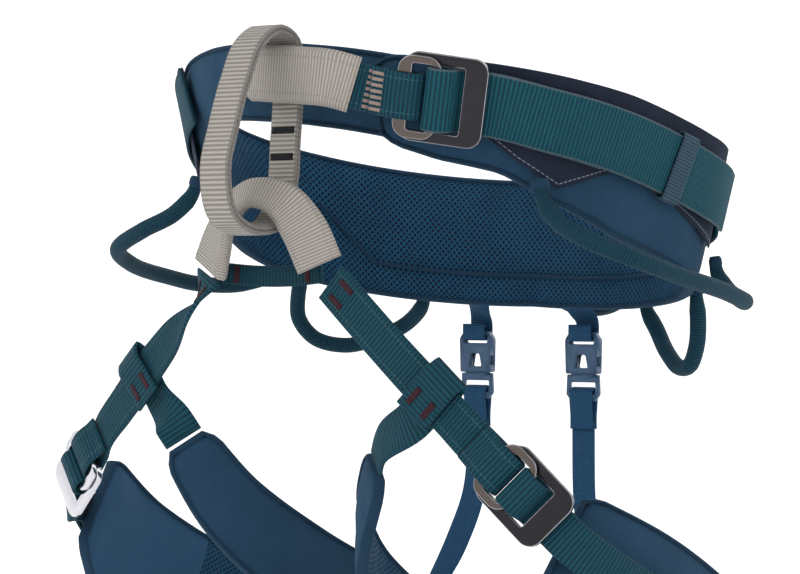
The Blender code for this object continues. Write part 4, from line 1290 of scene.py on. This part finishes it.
def make_leg(leg):
    body = f"leg_{leg}"
    coarse = pad_line(leg)
    riser = in_mm({"right": RIGHT_RISER, "left": LEFT_RISER}[leg])
    line = []
    for place, face, side, width in pad_line(leg, 4.5 * MM):
        line.append((place, side if side.dot(THIGH_AXIS) > 0 else -side, face, width / 2))
    make_pad(f"leg_pad_{leg}", line, PAD_OUT, (2.0 * MM, 2.2 * MM, 2.4 * MM), body,
             (f"leg_lining_{leg}", f"leg_foam_{leg}", f"leg_shell_{leg}"),
             groove=lambda share, k: k == COLUMNS + 2 and 0.2 < share < 0.8, panel=lambda share: share > 0.8)
    edging(f"leg_edging_{leg}", line, PAD_OUT, body)
    frame = buckle_frame_at(*{"right": RIGHT_BUCKLE, "left": LEFT_BUCKLE}[leg])
    finish_and_edge_highlight = {"right": POLISHED, "left": BLACK_AND_BRONZE_WITH_EDGE_HIGHLIGHT}[leg]
    make_buckle(body, frame, LEG_WIDTH, body, f"{body}_ring", *finish_and_edge_highlight)
    rows = [*riser, *flipped(reversed(buckle_rows(frame, ANCHOR_FOLD)))]
    up_line = strap_line(rows, LEG_WIDTH, FINE)
    band(f"riser_band_{leg}", up_line, WEBBING, "riser", body, (f"riser_{leg}",))
    for across in (-4.5 * MM, 4.5 * MM):
        tack(f"riser_top_tack_{leg}_{across > 0:d}", up_line, 9 * MM, across, (9, 3), TACK_OUT, "thread",
             body)
    tack(f"riser_end_tack_{leg}", up_line, -44 * MM, 0, (13, 3), TACK_OUT, "thread", body, True)
    shares = WEBBING_ON_PAD[leg]
    under = []
    tail = []
    for share in shares:
        out = PAD_OUT / MM + (PAD_END_LIFT if share == shares[-1] else 0)
        under.append(pad_place(coarse, share, 0, out + SEWN_RUN_OUT))
        tail.insert(0, pad_place(coarse, share, 0, out + FREE_TAIL_OUT))
    line = strap_line([*under, *buckle_rows(frame, THREADED, -1), *flipped(tail)], LEG_WIDTH, FINE)
    band(f"leg_strap_{leg}", line, WEBBING, "leg", body, (f"leg_webbing_{leg}",))
    cross = Vector(riser[3][:3])
    start = coarse[0]
    pad_middle = start[0] + start[1] * PAD_OUT / 2
    rows = keeper_rows(cross, Vector(riser[4][:3]) - Vector(riser[2][:3]), Vector(riser[3][3:]), pad_middle)
    into = (coarse[0][0] - coarse[1][0]).normalized()
    rows.append((*(pad_middle + into * 10 * MM), *-start[1]))
    rows.append((*(pad_middle + into * 3 * MM), *-start[1]))
    line = strap_line(rows, LEG_WIDTH, FINE)
    band(f"keeper_band_{leg}", line, KEEPER_PLY, "keeper", body, (f"keeper_strap_{leg}",))
    for across in (-5 * MM, 5 * MM):
        tack(f"keeper_tack_{leg}_{across > 0:d}", line, 8 * MM, across, (9, 3), 0.9 * MM, "thread", body)


# ---- Rear clips and elastic straps


def softened(node, name, body, offset):
    """A plastic CAD piece with its edges rounded by some mm."""
    source = frame["nodes"][node]
    bm = bmesh.new()
    bm.from_mesh(source.data)
    bmesh.ops.remove_doubles(bm, verts=bm.verts, dist=0.01 * MM)
    rims = [e for e in bm.edges if len(e.link_faces) == 2 and e.calc_face_angle(0) > math.radians(35)]
    round_edges(bm, rims, offset * MM, clamp_overlap=True)
    return new_object(name, bm, ["plastic"], body, (node,), FLAT_SIDES)


def make_rear():
    for side, (share, middle) in {"right": (0.55, [(-48, 86, -172), (-60, 88, -198)]),
                                  "left": (0.48, [(26, 82, -180), (34, 78, -208)])}.items():
        plug = f"clip_plug_{side}"
        softened(f"clip_socket_{side}", f"clip_socket_moulding_{side}", "waist_belt", 0.45)
        softened(plug, f"clip_plug_moulding_{side}", plug, 0.3)
        top = CLIP_AT[side]
        rows = [on_belt(CLIP_TAB_PHI[side], height * MM, SHELL_OUT + GAP + WEBBING)
                for height in (-25, -32, -39)]
        bar = [(3.9, 5), (3.9, -1.5), (3.5, -3.4), (2.2, -4.3), (0, -4.5), (-2.2, -4.3), (-3.5, -3.4),
               (-3.9, -1.5), (-3.9, 4)]
        faces = [(1, 0), (1, 0), (0.8, -0.6), (0.3, -1), (0, -1), (-0.3, -1), (-0.8, -0.6), (-1, 0), (-1, 0)]
        rows.extend((top.x, top.y + y * MM, top.z + z * MM, 0, *face) for (y, z), face in zip(bar, faces))
        band(f"clip_tab_band_{side}", strap_line(rows, TAB_WIDTH, 1.5 * MM), 1.2 * MM, "elastic",
             "waist_belt", (f"clip_tab_{side}",))
        fold = [(2.0, -51), (2.0, -44), (2.7, -38), (2.6, -31.5), (0, -29.6), (-2.6, -31.5), (-2.7, -38),
                (-2.0, -44), (-2.0, -51)]
        faces = [(1, 0), (1, 0), (1, 0), (0.8, 0.6), (0, 1), (-0.8, 0.6), (-1, 0), (-1, 0), (-1, 0)]
        rows = [(top.x, top.y + y * MM, top.z + z * MM, 0, *face) for (y, z), face in zip(fold, faces)]
        band(f"elastic_end_band_{side}", strap_line(rows, TAB_WIDTH, 1.5 * MM), ELASTIC, "elastic", plug,
             (f"elastic_end_{side}",))
        line = pad_line(side)
        rows = [(top.x, top.y, top.z + z * MM, 0, 1, 0) for z in (-47, -56)]
        rows.extend((*(Vector(point) * MM), 0, 1, 0.1) for point in middle)
        edge = line[round(share * (len(line) - 1))][3] / MM / 2
        rows.extend(pad_place(line, share, edge - drop, PAD_OUT / MM + 1.5) for drop in (0, 14, 30))
        line = strap_line(rows, TAB_WIDTH, 2.5 * MM)
        made = band(f"elastic_strap_band_{side}", line, ELASTIC, "elastic", None, (f"elastic_strap_{side}",))
        line_at(line, -34 * MM)[0]
        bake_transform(made)


make_belt()
make_waist_straps()
make_tail_keeper()
make_gear_loops()
make_tie_in()
make_leg("right")
make_leg("left")
make_rear()
